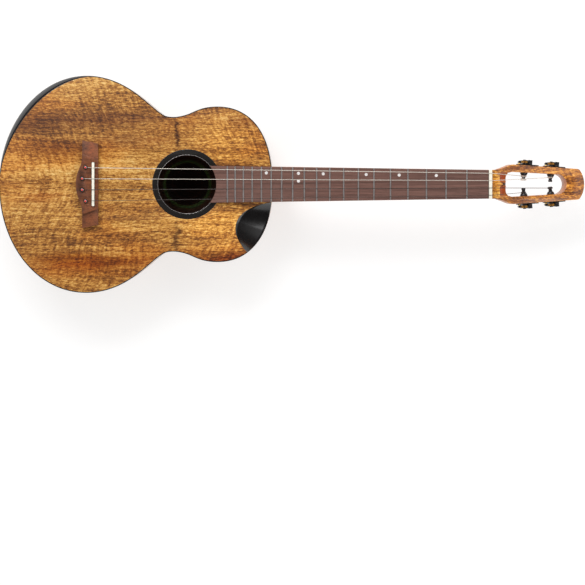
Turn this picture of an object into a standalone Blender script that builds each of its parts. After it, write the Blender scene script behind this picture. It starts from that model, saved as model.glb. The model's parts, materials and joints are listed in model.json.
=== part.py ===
"""Baritone ukulele: hollow flat-backed body, set neck, slotted head and four open worm-gear tuners.

Metres, +Z up.  +X runs along the neck to the head, +Y to the bass side, and the body lies on its flat back.
The origin is under the middle of the whole instrument, on the surface it lies on.
"""
import math

import bmesh
import bpy
import numpy as np
from mathutils import Matrix, Vector

# Overall sizes
SCALE_LENGTH = 0.510
SADDLE_SETBACK = 0.0038
BODY_LENGTH = 0.356
BODY_DEPTH = 0.085
LOWER_BOUT = 0.2828
LOWER_BOUT_AT = 0.1131
WAIST = 0.1752
WAIST_AT = 0.2227
UPPER_BOUT = 0.2026
UPPER_BOUT_AT = 0.2851
HEAD_LENGTH = 0.1252
HEAD_TILT = math.radians(10)
HEAD_THICKNESS = 0.020

# How full the body outline is at each place: the handles of its curves
TAIL_FULLNESS = 0.0795
LOWER_TAILWARD = 0.0638
LOWER_NECKWARD = 0.0621
WAIST_TAILWARD = 0.0197
WAIST_NECKWARD = 0.0311
UPPER_TAILWARD = 0.0332
UPPER_NECKWARD = 0.0318
SHOULDER_FULLNESS = 0.0805

# Plates, ribs and the frame inside
GAP = 0.0003
TOP_THICKNESS = 0.0022
BACK_THICKNESS = 0.0024
SIDE_THICKNESS = 0.0020
LINING_WIDTH = 0.005
LINING_HEIGHT = 0.012
BINDING_WIDTH = 0.0012
BLOCK_HALF_WIDTH = 0.032
NECK_BLOCK_LENGTH = 0.038
TAIL_BLOCK_LENGTH = 0.016
BRACE_WIDTH = 0.008
BRACE_HEIGHT = 0.012
FAN_BRACE_WIDTH = 0.006
FAN_BRACE_HEIGHT = 0.007
FAN_BRACE_AT = 0.068
FAN_BRACE_BEHIND_SADDLE = 0.055
TOP_BRACE_SHORT_OF_EDGE = 0.045
BACK_BRACE_AT = (0.105, 0.285)
BRIDGE_PLATE_LENGTH = 0.036
BRIDGE_PLATE_WIDTH = 0.118
BRIDGE_PLATE_THICKNESS = 0.0025

# Soundhole and rosette
SOUNDHOLE_FROM_JOINT = 0.111
SOUNDHOLE_RADIUS = 0.038
ROSETTE_WIDTH = 0.0075
ROSETTE_THICKNESS = 0.0010

# Armrest bevel and cutaway scoop, both dark wood skins let into the edge
ARMREST_FROM = 0.012
ARMREST_TO = 0.205
ARMREST_WIDTH = 0.0093
BEVEL_SLOPE = 1.15
SCOOP_FROM_NECK = 0.0240
SCOOP_TO_NECK = 0.0985
SCOOP_DEPTH = 0.024
SCOOP_NECK_HANDLE = (-0.034, -0.004)
SCOOP_WAIST_HANDLE = (-0.034, 0.038)
SKIN_THICKNESS = 0.003
SKIN_CLEARANCE = 0.0007

# Neck and fretboard
JOINT_FRET = 14
JOINT_FRET_INSET = 0.0015
FRET_COUNT = 19
NUT_WIDTH = 0.0375
WIDTH_GAIN = 0.0303
NUT_THICKNESS = 0.0046
NUT_HEIGHT = 0.0069
BOARD_THICKNESS = 0.005
FRET_HEIGHT = 0.001
FRET_WIDTH = 0.0022
NECK_DEPTH_AT_NUT = 0.0155
NECK_DEPTH_AT_HEEL = 0.0185
HEEL_LENGTH = 0.020
HEEL_SWEEP = 0.062
HEEL_TIP_WIDTH = 0.020
HEEL_CLEAR_OF_BACK = 0.003
TRUSS_ROD_WIDTH = 0.005
TRUSS_ROD_HEIGHT = 0.006
TRUSS_ROD_FROM_JOINT = 0.010
TRUSS_ROD_SHORT_OF_HEAD = 0.002
HEEL_LAP = 0.004
NECK_SQUARENESS = 2.1
HEAD_BLEND_BEFORE_NUT = 0.020
HEAD_BLEND_AFTER_NUT = 0.012
HEAD_BLOCK_FROM = 0.0105
FILLER_WIDTH = 0.0019
FILLER_DEPTH = 0.003
FILLER_FROM_JOINT = 0.047

# Head, in its own plane: distances from the nut
HEAD_WIDEST = 0.0516
HEAD_WIDEST_AT = 0.0288
HEAD_FLARE = 0.0160
HEAD_SHOULDER = 0.008
HEAD_CORNER_WIDTH = 0.0402
HEAD_CORNER_AT = 0.1181
VENEER_THICKNESS = 0.0015
WINDOW_FROM = 0.0196
WINDOW_CORNER = 0.0087
WINDOW_WIDTH = 0.0327
WINDOW_END_WIDTH = 0.0262
WINDOW_END_AT = 0.0880
RAMP_FROM = 0.0104
RAMP_WIDTH = 0.0304
RAMP_BRIDGE = 0.0070
RAMP_DROP = 0.0065

# Bridge, saddle and pins: distances from the saddle
BRIDGE_FRONT = 0.0061
BRIDGE_REAR = 0.0146
BRIDGE_BULGE = 0.0226
BULGE_HALF_SPAN = 0.036
WING_REAR = 0.0570
WING_FRONT = 0.0529
STEP_REAR = 0.0393
STEP_FRONT = 0.0318
BRIDGE_HEIGHT = 0.0080
WING_HEIGHT = 0.0052
SADDLE_LENGTH = 0.057
SADDLE_THICKNESS = 0.0034
SADDLE_PROUD = 0.0033
SADDLE_SEAT = 0.0045
PIN_SETBACKS = (0.0099, 0.0142, 0.0142, 0.0099)
PIN_SPREAD = 0.0437
PIN_HEAD_RADIUS = 0.0029
PIN_SHANK_RADIUS = 0.0022
PIN_HEAD_HEIGHT = 0.0024
PIN_LENGTH = 0.020

# Strings, bass to treble
STRING_NAMES = ("d", "g", "b", "e")
STRING_DIAMETERS = (0.00090, 0.00080, 0.00075, 0.00062)
SADDLE_SPREAD = 0.0428
NUT_SPREAD = 0.0286
POST_SPOTS = (0.0104, 0.0088, -0.0050, -0.0106)

# Tuners: a single-start worm turns a gear on the string post
TUNER_NAMES = ("bass_near", "bass_far", "treble_far", "treble_near")
TUNER_AT = (0.0465, 0.0830, 0.0830, 0.0465)
TUNER_SIDES = (1, 1, -1, -1)
GEAR_TEETH = 14
WORM_PITCH = 0.001795
WORM_RADIUS = 0.0024
TOOTH_HALF_HEIGHT = 0.0005
TOOTH_ROOT_EXTRA = 0.00015
TOOTH_THICKNESS = 0.00064
PRESSURE_SLOPE = 0.36
GEAR_WIDTH = 0.0028
GEAR_BORE = 0.0018
WORM_LENGTH = 0.0084
SHAFT_RADIUS = 0.0013
SHAFT_PAST_LUG = 0.0008
SHAFT_IN_BUTTON = 0.008
COLLAR_WIDTH = 0.0009
LUG_PLAY = 0.0004
LUG_THICKNESS = 0.0012
LUG_HALF_WIDTH = 0.0026
MECHANISM_OUT = 0.0047
PLATE_THICKNESS = 0.0012
PLATE_HALF_HEIGHT = 0.0056
PLATE_END_HALF_HEIGHT = 0.0030
PLATE_WIDE_FROM = -0.0055
PLATE_WIDE_TO = 0.0115
PLATE_TIPWARD = 0.0187
PLATE_NUTWARD = 0.0105
POST_REACH = 0.0103
ROLLER_RADIUS = 0.00285
ROLLER_WAIST = 0.0022
BUSHING_BORE = 0.00315
BUSHING_RADIUS = 0.0039
BUSHING_FLANGE = 0.0050
BUSHING_FLANGE_LENGTH = 0.0034
BUTTON_LENGTH = 0.0150
BUTTON_WIDTH = 0.0190
BUTTON_THICKNESS = 0.0056
BUTTON_BELOW_HEAD = 0.0020

# Fineness
CURVE_STEPS = 60
RIM_STEP = 0.010
ROUND_STEPS = 40

# Places worked out from the sizes above
GEAR_RADIUS = GEAR_TEETH * WORM_PITCH / (2 * math.pi)
WORM_OFFSET = GEAR_RADIUS + WORM_RADIUS
JOINT_TO_NUT = SCALE_LENGTH * (1 - 2 ** (-JOINT_FRET / 12))
TAIL_TO_NUT = BODY_LENGTH - JOINT_FRET_INSET + JOINT_TO_NUT
TOTAL_LENGTH = TAIL_TO_NUT + NUT_THICKNESS + HEAD_LENGTH * math.cos(HEAD_TILT)
TAIL_X = -TOTAL_LENGTH / 2
JOINT_X = TAIL_X + BODY_LENGTH
NUT_X = TAIL_X + TAIL_TO_NUT
HEAD_X = NUT_X + NUT_THICKNESS
SADDLE_X = NUT_X - SCALE_LENGTH - SADDLE_SETBACK
SOUNDHOLE_X = JOINT_X - SOUNDHOLE_FROM_JOINT
ROSETTE_RADIUS = SOUNDHOLE_RADIUS + ROSETTE_WIDTH
TOP_Z = BODY_DEPTH
TOP_INNER_Z = TOP_Z - TOP_THICKNESS
SIDE_LOW = BACK_THICKNESS + GAP
SIDE_HIGH = TOP_INNER_Z - GAP
FRAME_INSET = SIDE_THICKNESS + GAP
BOARD_LOW = TOP_Z + GAP
BOARD_HIGH = BOARD_LOW + BOARD_THICKNESS
BRIDGE_LOW = TOP_Z + GAP
BRIDGE_HIGH = BRIDGE_LOW + BRIDGE_HEIGHT
HEAD_FACE = Matrix.Translation((HEAD_X, 0, TOP_Z + VENEER_THICKNESS)) @ Matrix.Rotation(HEAD_TILT, 4, "Y")
HEAD_TAPER = (HEAD_WIDEST - HEAD_CORNER_WIDTH) / 2 / (HEAD_CORNER_AT - HEAD_WIDEST_AT)


# Scene, materials and general shapes

def clear_scene():
    for obj in list(bpy.data.objects):
        bpy.data.objects.remove(obj, do_unlink=True)


def new_collection(name):
    collection = bpy.data.collections.new(name)
    bpy.context.scene.collection.children.link(collection)
    return collection


def material(name, colour, roughness, metallic=0.0):
    mat = bpy.data.materials.new(name)
    mat.use_nodes = True
    shader = mat.node_tree.nodes["Principled BSDF"]
    shader.inputs["Base Color"].default_value = (*colour, 1)
    shader.inputs["Roughness"].default_value = roughness
    shader.inputs["Metallic"].default_value = metallic
    mat.diffuse_color = (*colour, 1)
    return mat


def mesh_object(name, mesh, matrix=None):
    obj = bpy.data.objects.new(name, mesh)
    PARTS.objects.link(obj)
    if matrix is not None:
        obj.matrix_world = matrix
    return obj


def as_cutter(obj):
    PARTS.objects.unlink(obj)
    CUTTERS.objects.link(obj)
    obj.hide_render = True
    obj.display_type = "WIRE"
    return obj


def combine(obj, other, operation, solver="EXACT"):
    modifier = obj.modifiers.new(operation.lower(), "BOOLEAN")
    modifier.operation = operation
    modifier.solver = solver
    modifier.object = as_cutter(other) if other.name in PARTS.objects else other
    return obj


def cut(obj, *cutters, solver="EXACT"):
    for cutter in cutters:
        combine(obj, cutter, "DIFFERENCE", solver)
    return obj


def clear_bevels(obj, rooms):
    """Cuts the room of the armrest and the scoop, whose surfaces are curved in every direction."""
    return cut(obj, *rooms, solver="MANIFOLD")


def join(obj, *others):
    for other in others:
        combine(obj, other, "UNION")
    return obj


def bevel(obj, width, segments=1, angle=40):
    modifier = obj.modifiers.new("edges", "BEVEL")
    modifier.width = width
    modifier.segments = segments
    modifier.limit_method = "ANGLE"
    modifier.angle_limit = math.radians(angle)
    return obj


def plate(name, loops, low, high, matrix=None):
    """A flat piece between two heights, from closed outlines: the first outside, the others holes."""
    curve = bpy.data.curves.new(name, "CURVE")
    curve.dimensions = "2D"
    curve.fill_mode = "BOTH"
    curve.extrude = (high - low) / 2
    for loop in loops:
        spline = curve.splines.new("POLY")
        spline.points.add(len(loop) - 1)
        spline.use_cyclic_u = True
        for point, (x, y) in zip(spline.points, loop):
            point.co = (x, y, 0, 1)
    flat = bpy.data.objects.new(name + "_outline", curve)
    PARTS.objects.link(flat)
    bpy.context.view_layer.update()
    mesh = bpy.data.meshes.new_from_object(flat.evaluated_get(bpy.context.evaluated_depsgraph_get()))
    bpy.data.objects.remove(flat)
    weld(mesh)
    mesh.transform(Matrix.Translation((0, 0, (low + high) / 2)))
    return mesh_object(name, mesh, matrix)


def weld(mesh):
    work = bmesh.new()
    work.from_mesh(mesh)
    bmesh.ops.remove_doubles(work, verts=work.verts, dist=1e-6)
    bmesh.ops.recalc_face_normals(work, faces=work.faces)
    work.to_mesh(mesh)
    work.free()


def box(name, low, high, matrix=None):
    mesh = bpy.data.meshes.new(name)
    work = bmesh.new()
    bmesh.ops.create_cube(work, size=1)
    size = Vector(high) - Vector(low)
    middle = (Vector(high) + Vector(low)) / 2
    place = Matrix.Translation(middle) @ Matrix.Diagonal((*size, 1))
    bmesh.ops.transform(work, matrix=place, verts=work.verts)
    work.to_mesh(mesh)
    work.free()
    return mesh_object(name, mesh, matrix)


def turned(name, profile, matrix, steps=20, ring=False):
    """A turned piece about its own Z, from (radius, height) points running down its outer side."""
    mesh = bpy.data.meshes.new(name)
    edges = [(i, i + 1) for i in range(len(profile) - 1)]
    if ring:
        edges.append((len(profile) - 1, 0))
    mesh.from_pydata([(radius, 0, height) for radius, height in profile], edges, [])
    obj = mesh_object(name, mesh, matrix)
    screw = obj.modifiers.new("turn", "SCREW")
    screw.steps = steps
    screw.render_steps = steps
    screw.use_merge_vertices = True
    screw.merge_threshold = 1e-6
    return obj


def rod(name, radius, low, high, matrix, steps=20):
    return turned(name, [(0, high), (radius, high), (radius, low), (0, low)], matrix, steps)


def loft(name, sections, matrix=None):
    """A closed solid through rings of equally many points."""
    mesh = bpy.data.meshes.new(name)
    work = bmesh.new()
    rings = [[work.verts.new(point) for point in section] for section in sections]
    count = len(rings[0])
    for lower, upper in zip(rings, rings[1:]):
        for i in range(count):
            j = (i + 1) % count
            work.faces.new((lower[i], lower[j], upper[j], upper[i]))
    work.faces.new(rings[0])
    work.faces.new(rings[-1])
    work.normal_update()
    bmesh.ops.triangulate(work, faces=work.faces)
    bmesh.ops.recalc_face_normals(work, faces=work.faces)
    if work.calc_volume(signed=True) < 0:
        bmesh.ops.reverse_faces(work, faces=work.faces)
    work.to_mesh(mesh)
    work.free()
    return mesh_object(name, mesh, matrix)


def baked(obj):
    """The object with its modifiers made into its mesh, so that copies can share it."""
    bpy.context.view_layer.update()
    mesh = bpy.data.meshes.new_from_object(obj.evaluated_get(bpy.context.evaluated_depsgraph_get()))
    obj.modifiers.clear()
    obj.data = mesh
    return obj


def bezier(start, start_handle, end_handle, end, steps):
    t = np.linspace(0, 1, steps + 1)[:, None]
    points = [np.asarray(p, float) for p in (start, start_handle, end_handle, end)]
    weights = ((1 - t) ** 3, 3 * (1 - t) ** 2 * t, 3 * (1 - t) * t ** 2, t ** 3)
    return sum(weight * point for weight, point in zip(weights, points))


def circle(centre_x, radius, steps=ROUND_STEPS):
    angles = [2 * math.pi * i / steps for i in range(steps)]
    return [(centre_x + radius * math.cos(a), radius * math.sin(a)) for a in angles]


def rectangle(low_x, high_x, low_y, high_y):
    return [(low_x, low_y), (high_x, low_y), (high_x, high_y), (low_x, high_y)]


def mirrored(points):
    """A half outline at positive Y, closed by its mirror image."""
    return list(points) + [(x, -y) for x, y in reversed(list(points)) if y > 1e-9]


# Body outline

def half_outline():
    """The bass half of the body's edge, from the middle of the tail to the middle of the neck end."""
    lower = (LOWER_BOUT_AT, LOWER_BOUT / 2)
    waist = (WAIST_AT, WAIST / 2)
    upper = (UPPER_BOUT_AT, UPPER_BOUT / 2)
    runs = (
        ((0, 0), (0, TAIL_FULLNESS), (lower[0] - LOWER_TAILWARD, lower[1]), lower),
        (lower, (lower[0] + LOWER_NECKWARD, lower[1]), (waist[0] - WAIST_TAILWARD, waist[1]), waist),
        (waist, (waist[0] + WAIST_NECKWARD, waist[1]), (upper[0] - UPPER_TAILWARD, upper[1]), upper),
        (upper, (upper[0] + UPPER_NECKWARD, upper[1]), (BODY_LENGTH, SHOULDER_FULLNESS), (BODY_LENGTH, 0)),
    )
    pieces = [bezier(*run, CURVE_STEPS)[:-1] for run in runs]
    return np.vstack(pieces + [[(BODY_LENGTH, 0)]]) + (TAIL_X, 0)


EDGE = half_outline()
EDGE_LENGTHS = np.concatenate([[0], np.cumsum(np.linalg.norm(np.diff(EDGE, axis=0), axis=1))])
EDGE_LENGTH = EDGE_LENGTHS[-1]
EDGE_STEP = EDGE_LENGTH / round(EDGE_LENGTH / RIM_STEP)


def edge_mark(mark, inset):
    """A corner of the faceted edge on the bass side, numbered from the tail, moved inwards by the inset."""
    near = (mark - 0.2) * EDGE_STEP
    spots = np.clip([near, mark * EDGE_STEP, near + 0.4 * EDGE_STEP], 0, EDGE_LENGTH)
    behind, centre, ahead = np.stack([np.interp(spots, EDGE_LENGTHS, EDGE[:, i]) for i in (0, 1)], axis=1)
    if mark == 0:
        behind = ahead * (1, -1)
    if mark == round(EDGE_LENGTH / EDGE_STEP):
        ahead = behind * (1, -1)
    tangent = (ahead - behind) / np.linalg.norm(ahead - behind)
    return centre + np.array([tangent[1], -tangent[0]]) * inset


def edge_at(along, inset=0.0):
    """A point on the edge, at a distance from the tail that is positive on the bass side."""
    place = min(abs(along) / EDGE_STEP, EDGE_LENGTH / EDGE_STEP)
    mark = min(int(place), round(EDGE_LENGTH / EDGE_STEP) - 1)
    share = place - mark
    x, y = edge_mark(mark, inset) * (1 - share) + edge_mark(mark + 1, inset) * share
    return np.array([x, math.copysign(y, along) if along else y])


def edge_line(start, end, inset=0.0):
    """The corners of the faceted edge between two places on it, and the places themselves."""
    low, high = sorted((start, end))
    tiny = EDGE_STEP * 1e-3
    marks = range(math.ceil((low + tiny) / EDGE_STEP), math.floor((high - tiny) / EDGE_STEP) + 1)
    places = [low] + [mark * EDGE_STEP for mark in marks] + [high]
    return [edge_at(along, inset) for along in (places if start < end else places[::-1])]


def closed_edge(inset):
    return edge_line(-EDGE_LENGTH, EDGE_LENGTH, inset)[:-1]


def strip(start, end, outer, inner):
    return edge_line(start, end, outer) + edge_line(end, start, inner)


def inner_half_width(x, inset):
    """Half the width inside the body at a place along it, keeping an inset from the edge."""
    return float(np.interp(x, EDGE[:, 0], EDGE[:, 1])) - inset


# Body

def make_back():
    return plate("back", [closed_edge(0)], 0, BACK_THICKNESS)


def make_soundboard(rooms, pins):
    board = plate("soundboard", [closed_edge(BINDING_WIDTH + GAP), circle(SOUNDHOLE_X, SOUNDHOLE_RADIUS)],
                  TOP_INNER_Z, TOP_Z)
    recess = plate("rosette_recess", [circle(SOUNDHOLE_X, ROSETTE_RADIUS + GAP)],
                   TOP_Z - ROSETTE_THICKNESS - GAP, TOP_Z + TOP_THICKNESS)
    return cut(board, *rooms, recess, *pins, solver="MANIFOLD")


def make_sides(rooms):
    for name, side in (("side_bass", 1), ("side_treble", -1)):
        start, end = side * GAP, side * (EDGE_LENGTH - GAP)
        side = plate(name, [strip(start, end, 0, SIDE_THICKNESS)], SIDE_LOW, SIDE_HIGH)
        clear_bevels(side, rooms)


def make_linings(rooms):
    ring = [closed_edge(FRAME_INSET), closed_edge(FRAME_INSET + LINING_WIDTH)]
    clear_bevels(plate("lining_top", ring, SIDE_HIGH - LINING_HEIGHT, SIDE_HIGH), rooms)
    plate("lining_back", ring, SIDE_LOW, SIDE_LOW + LINING_HEIGHT)


def make_blocks(rooms):
    low = SIDE_LOW + LINING_HEIGHT + GAP
    high = SIDE_HIGH - LINING_HEIGHT - GAP
    reach = float(np.interp(BLOCK_HALF_WIDTH, EDGE[:CURVE_STEPS, 1], EDGE_LENGTHS[:CURVE_STEPS]))
    inner = TAIL_X + FRAME_INSET + TAIL_BLOCK_LENGTH
    outer = edge_line(-reach, reach, FRAME_INSET)
    plate("tail_block", [outer + [(inner, outer[-1][1]), (inner, outer[0][1])]], low, high)
    inner = JOINT_X - FRAME_INSET - NECK_BLOCK_LENGTH
    end = edge_line(EDGE_LENGTH - BLOCK_HALF_WIDTH, EDGE_LENGTH, FRAME_INSET)
    half = [(inner, end[0][1])] + end
    clear_bevels(plate("neck_block", [mirrored(half)], low, high), rooms)


def make_braces():
    margin = FRAME_INSET + LINING_WIDTH + GAP
    top = TOP_INNER_Z - GAP
    places = {"top_brace_upper": SOUNDHOLE_X + SOUNDHOLE_RADIUS + BRACE_WIDTH,
              "top_brace_lower": SOUNDHOLE_X - SOUNDHOLE_RADIUS - 1.5 * BRACE_WIDTH}
    for name, x in places.items():
        width = min(inner_half_width(x - BRACE_WIDTH, margin), inner_half_width(x + BRACE_WIDTH, margin))
        if name == "top_brace_upper":
            width = min(width, UPPER_BOUT / 2 - TOP_BRACE_SHORT_OF_EDGE)
        box(name, (x - BRACE_WIDTH / 2, -width, top - BRACE_HEIGHT), (x + BRACE_WIDTH / 2, width, top))
    low_x = SADDLE_X - FAN_BRACE_BEHIND_SADDLE
    high_x = places["top_brace_lower"] - BRACE_WIDTH / 2 - GAP
    for name, side in (("fan_brace_bass", 1), ("fan_brace_treble", -1)):
        y = side * FAN_BRACE_AT
        half = FAN_BRACE_WIDTH / 2
        box(name, (low_x, y - half, top - FAN_BRACE_HEIGHT), (high_x, y + half, top))
    low = BACK_THICKNESS + GAP
    for name, along in zip(("back_brace_lower", "back_brace_upper"), BACK_BRACE_AT):
        x = TAIL_X + along
        width = min(inner_half_width(x - BRACE_WIDTH, margin), inner_half_width(x + BRACE_WIDTH, margin))
        box(name, (x - BRACE_WIDTH / 2, -width, low), (x + BRACE_WIDTH / 2, width, low + BRACE_HEIGHT))


def make_bridge_plate(pins):
    middle = SADDLE_X - (BRIDGE_BULGE - BRIDGE_FRONT) / 2
    length, width = BRIDGE_PLATE_LENGTH / 2, BRIDGE_PLATE_WIDTH / 2
    high = TOP_INNER_Z - GAP
    piece = box("bridge_plate", (middle - length, -width, high - BRIDGE_PLATE_THICKNESS),
                (middle + length, width, high))
    cut(piece, *pins)


def make_rosette():
    rings = [circle(SOUNDHOLE_X, ROSETTE_RADIUS), circle(SOUNDHOLE_X, SOUNDHOLE_RADIUS)]
    plate("rosette", rings, TOP_Z - ROSETTE_THICKNESS, TOP_Z)


def make_bindings():
    low = TOP_INNER_Z
    plate("binding_bass", [strip(ARMREST_TO + GAP, EDGE_LENGTH - GAP, 0, BINDING_WIDTH)], low, TOP_Z)
    end = -(EDGE_LENGTH - SCOOP_TO_NECK - GAP)
    plate("binding_treble", [strip(ARMREST_FROM - GAP, end, 0, BINDING_WIDTH)], low, TOP_Z)


# Dark bevels let into the body's edge

def armrest_rows(count=18):
    """Inner and outer edge points and the drop of the armrest bevel, at steps along it."""
    rows = []
    for t in np.linspace(0, 1, count + 1):
        swell = max(math.sin(math.pi * (1 - t) ** 0.85), 0) ** 1.25
        width = BINDING_WIDTH + (ARMREST_WIDTH - BINDING_WIDTH) * swell
        along = ARMREST_FROM + (ARMREST_TO - ARMREST_FROM) * t
        rows.append((edge_at(along, width), edge_at(along), width * BEVEL_SLOPE))
    return rows


def scoop_rows(count=14):
    """The same for the cutaway scoop, whose inner edge is one curve between two edge points."""
    start = EDGE_LENGTH - SCOOP_FROM_NECK
    end = EDGE_LENGTH - SCOOP_TO_NECK
    first, last = edge_at(-start, BINDING_WIDTH), edge_at(-end, BINDING_WIDTH)
    inner = bezier(first, first + SCOOP_NECK_HANDLE, last + SCOOP_WAIST_HANDLE, last, count)
    rows = []
    for point, t in zip(inner, np.linspace(0, 1, count + 1)):
        outer = edge_at(-(start + (end - start) * t))
        rows.append((point, outer, BINDING_WIDTH + SCOOP_DEPTH * math.sin(math.pi * t) ** 0.8))
    return rows


def bevel_sections(rows, hollow, sink, reach_in, reach_out, ceiling=None):
    """Closed sections across a bevel. Sink lowers its surface; a ceiling makes the room above it."""
    sections = []
    tangents = np.gradient(np.array([inner for inner, _, _ in rows]), axis=0)
    sideways = np.stack([tangents[:, 1], -tangents[:, 0]], axis=1)
    sideways /= np.linalg.norm(tangents, axis=1)[:, None]
    middle = len(rows) // 2
    sideways *= math.copysign(1, sideways[middle] @ (rows[middle][0] - rows[middle][1]))
    for (inner, outer, drop), away in zip(rows, sideways):
        across = (outer - inner) / np.linalg.norm(outer - inner)
        line = []
        for share in np.linspace(0, 1, 4):
            x, y = inner + (outer - inner) * share
            fall = drop * (share + hollow * share * (1 - share))
            line.append((x, y, TOP_Z - fall))
        near = inner + away * reach_in
        far = outer + across * reach_out
        low = [(x, y, z - sink) for x, y, z in line]
        if ceiling is None:
            sections.append(line + low[::-1])
            continue
        low = [(*near, low[0][2])] + low + [(*far, low[-1][2])]
        high = [(x, y, ceiling) for x, y, _ in low]
        sections.append(high + low[::-1])
    return sections


def lengthened(rows):
    """The rows with both ends moved on by the gap, for a room that the piece fits."""
    first = [a + (a - b) / np.linalg.norm(a - b) * GAP for a, b in zip(rows[0][:2], rows[1][:2])]
    last = [a + (a - b) / np.linalg.norm(a - b) * GAP for a, b in zip(rows[-1][:2], rows[-2][:2])]
    return [(*first, rows[0][2])] + rows[1:-1] + [(*last, rows[-1][2])]


def make_bevels():
    rooms = []
    for name, rows, hollow in (("armrest", armrest_rows(), 0.0), ("cutaway_scoop", scoop_rows(), 0.5)):
        loft(name, bevel_sections(rows, hollow, SKIN_THICKNESS, 0, 0))
        sink = SKIN_THICKNESS + SKIN_CLEARANCE
        sections = bevel_sections(lengthened(rows), hollow, sink, GAP, 0.006, TOP_Z + 0.004)
        rooms.append(as_cutter(loft(name + "_room", sections)))
    return rooms


# Neck, head and fretboard

def board_half_width(x):
    return NUT_WIDTH / 2 + (NUT_X - x) * WIDTH_GAIN / 2


def head_half_width(u):
    return HEAD_WIDEST / 2 - (u - HEAD_WIDEST_AT) * HEAD_TAPER


def window_half_width(u):
    start = WINDOW_FROM + WINDOW_CORNER
    share = (u - start) / (WINDOW_END_AT - start)
    return WINDOW_WIDTH / 2 + (WINDOW_END_WIDTH - WINDOW_WIDTH) / 2 * share


def head_outline(start):
    """The head seen square on, from a start beside the nut to its curved end."""
    narrow = NUT_WIDTH / 2
    flare = bezier((start, narrow), (start + HEAD_FLARE, narrow),
                   (HEAD_WIDEST_AT - HEAD_SHOULDER, HEAD_WIDEST / 2 - 0.0004),
                   (HEAD_WIDEST_AT, HEAD_WIDEST / 2), 8)
    half = HEAD_CORNER_WIDTH / 2
    rise = HEAD_LENGTH - HEAD_CORNER_AT
    radius = (half ** 2 + rise ** 2) / (2 * rise)
    spread = math.asin(half / radius)
    end = [(HEAD_LENGTH - radius + radius * math.cos(a), radius * math.sin(a))
           for a in np.linspace(spread * 0.94, 0, 8)]
    corner = [(HEAD_CORNER_AT - 0.0015, head_half_width(HEAD_CORNER_AT - 0.0015))]
    return mirrored([tuple(p) for p in flare] + corner + end)


def window_outline(start, corner, width):
    """The string window, with rounded corners at the nut end and a round far end."""
    half = width / 2
    near = [(start + corner - corner * math.sin(a), half - corner + corner * math.cos(a))
            for a in np.linspace(math.pi / 2, 0, 6)]
    radius = WINDOW_END_WIDTH / 2
    far = [(WINDOW_END_AT + radius * math.sin(a), radius * math.cos(a))
           for a in np.linspace(0, math.pi / 2, 10)]
    far[-1] = (WINDOW_END_AT + radius, 0)
    return mirrored(near + far)


def neck_section(x, half, high, low, squareness):
    """A section across the neck: flat on top and round below, squarer as squareness grows."""
    points = []
    for angle in np.linspace(0, math.pi, 13):
        y = half * math.copysign(abs(math.cos(angle)) ** (2 / squareness), math.cos(angle))
        z = high - (high - low) * abs(math.sin(angle)) ** (2 / squareness)
        points.append((x, y, z))
    return points


def neck_depth(x):
    share = (NUT_X - x) / (NUT_X - JOINT_X)
    return NECK_DEPTH_AT_NUT + (NECK_DEPTH_AT_HEEL - NECK_DEPTH_AT_NUT) * share


def neck_shaft():
    sections = []
    blend_from = NUT_X - HEAD_BLEND_BEFORE_NUT
    blend_to = HEAD_X + HEAD_BLEND_AFTER_NUT
    for x in np.linspace(JOINT_X - HEEL_LAP, blend_from, 10):
        sections.append(neck_section(x, board_half_width(x), TOP_Z, TOP_Z - neck_depth(x), NECK_SQUARENESS))
    wood = HEAD_THICKNESS - VENEER_THICKNESS
    for t in np.linspace(0, 1, 8)[1:]:
        x = blend_from + (blend_to - blend_from) * t
        past = max(x - HEAD_X, 0)
        high = TOP_Z - past * math.tan(HEAD_TILT) - GAP * (past > 0)
        ease = t * t * (3 - 2 * t)
        head_back = TOP_Z - (x - HEAD_X) * math.tan(HEAD_TILT) - wood / math.cos(HEAD_TILT)
        low = (TOP_Z - neck_depth(blend_from)) * (1 - ease) + head_back * ease
        half = board_half_width(min(x, NUT_X))
        sections.append(neck_section(x, half, high, low, NECK_SQUARENESS + 6 * t ** 3))
    return loft("neck", sections)


def heel():
    """The heel stands on its pointed tip against the body and sweeps up into the shaft."""
    low = HEEL_CLEAR_OF_BACK
    high = TOP_Z - NECK_DEPTH_AT_NUT * 0.55
    top_half = board_half_width(JOINT_X) * 0.80
    sections = []
    for share in np.linspace(0, 1, 12):
        length = HEEL_LENGTH + HEEL_SWEEP * share ** 4
        half = HEEL_TIP_WIDTH / 2 + (top_half - HEEL_TIP_WIDTH / 2) * share ** 1.6
        z = low + (high - low) * share
        arch = [(JOINT_X + length * math.sin(a) ** 0.85, half * math.cos(a), z)
                for a in np.linspace(0, math.pi / 2, 9)]
        arch[-1] = (JOINT_X + length, 0, z)
        base = JOINT_X - HEEL_LAP
        ring = [(base, half, z)] + arch + [(x, -y, z) for x, y, z in arch[-2::-1]] + [(base, -half, z)]
        sections.append(ring)
    return loft("heel", sections)


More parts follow.
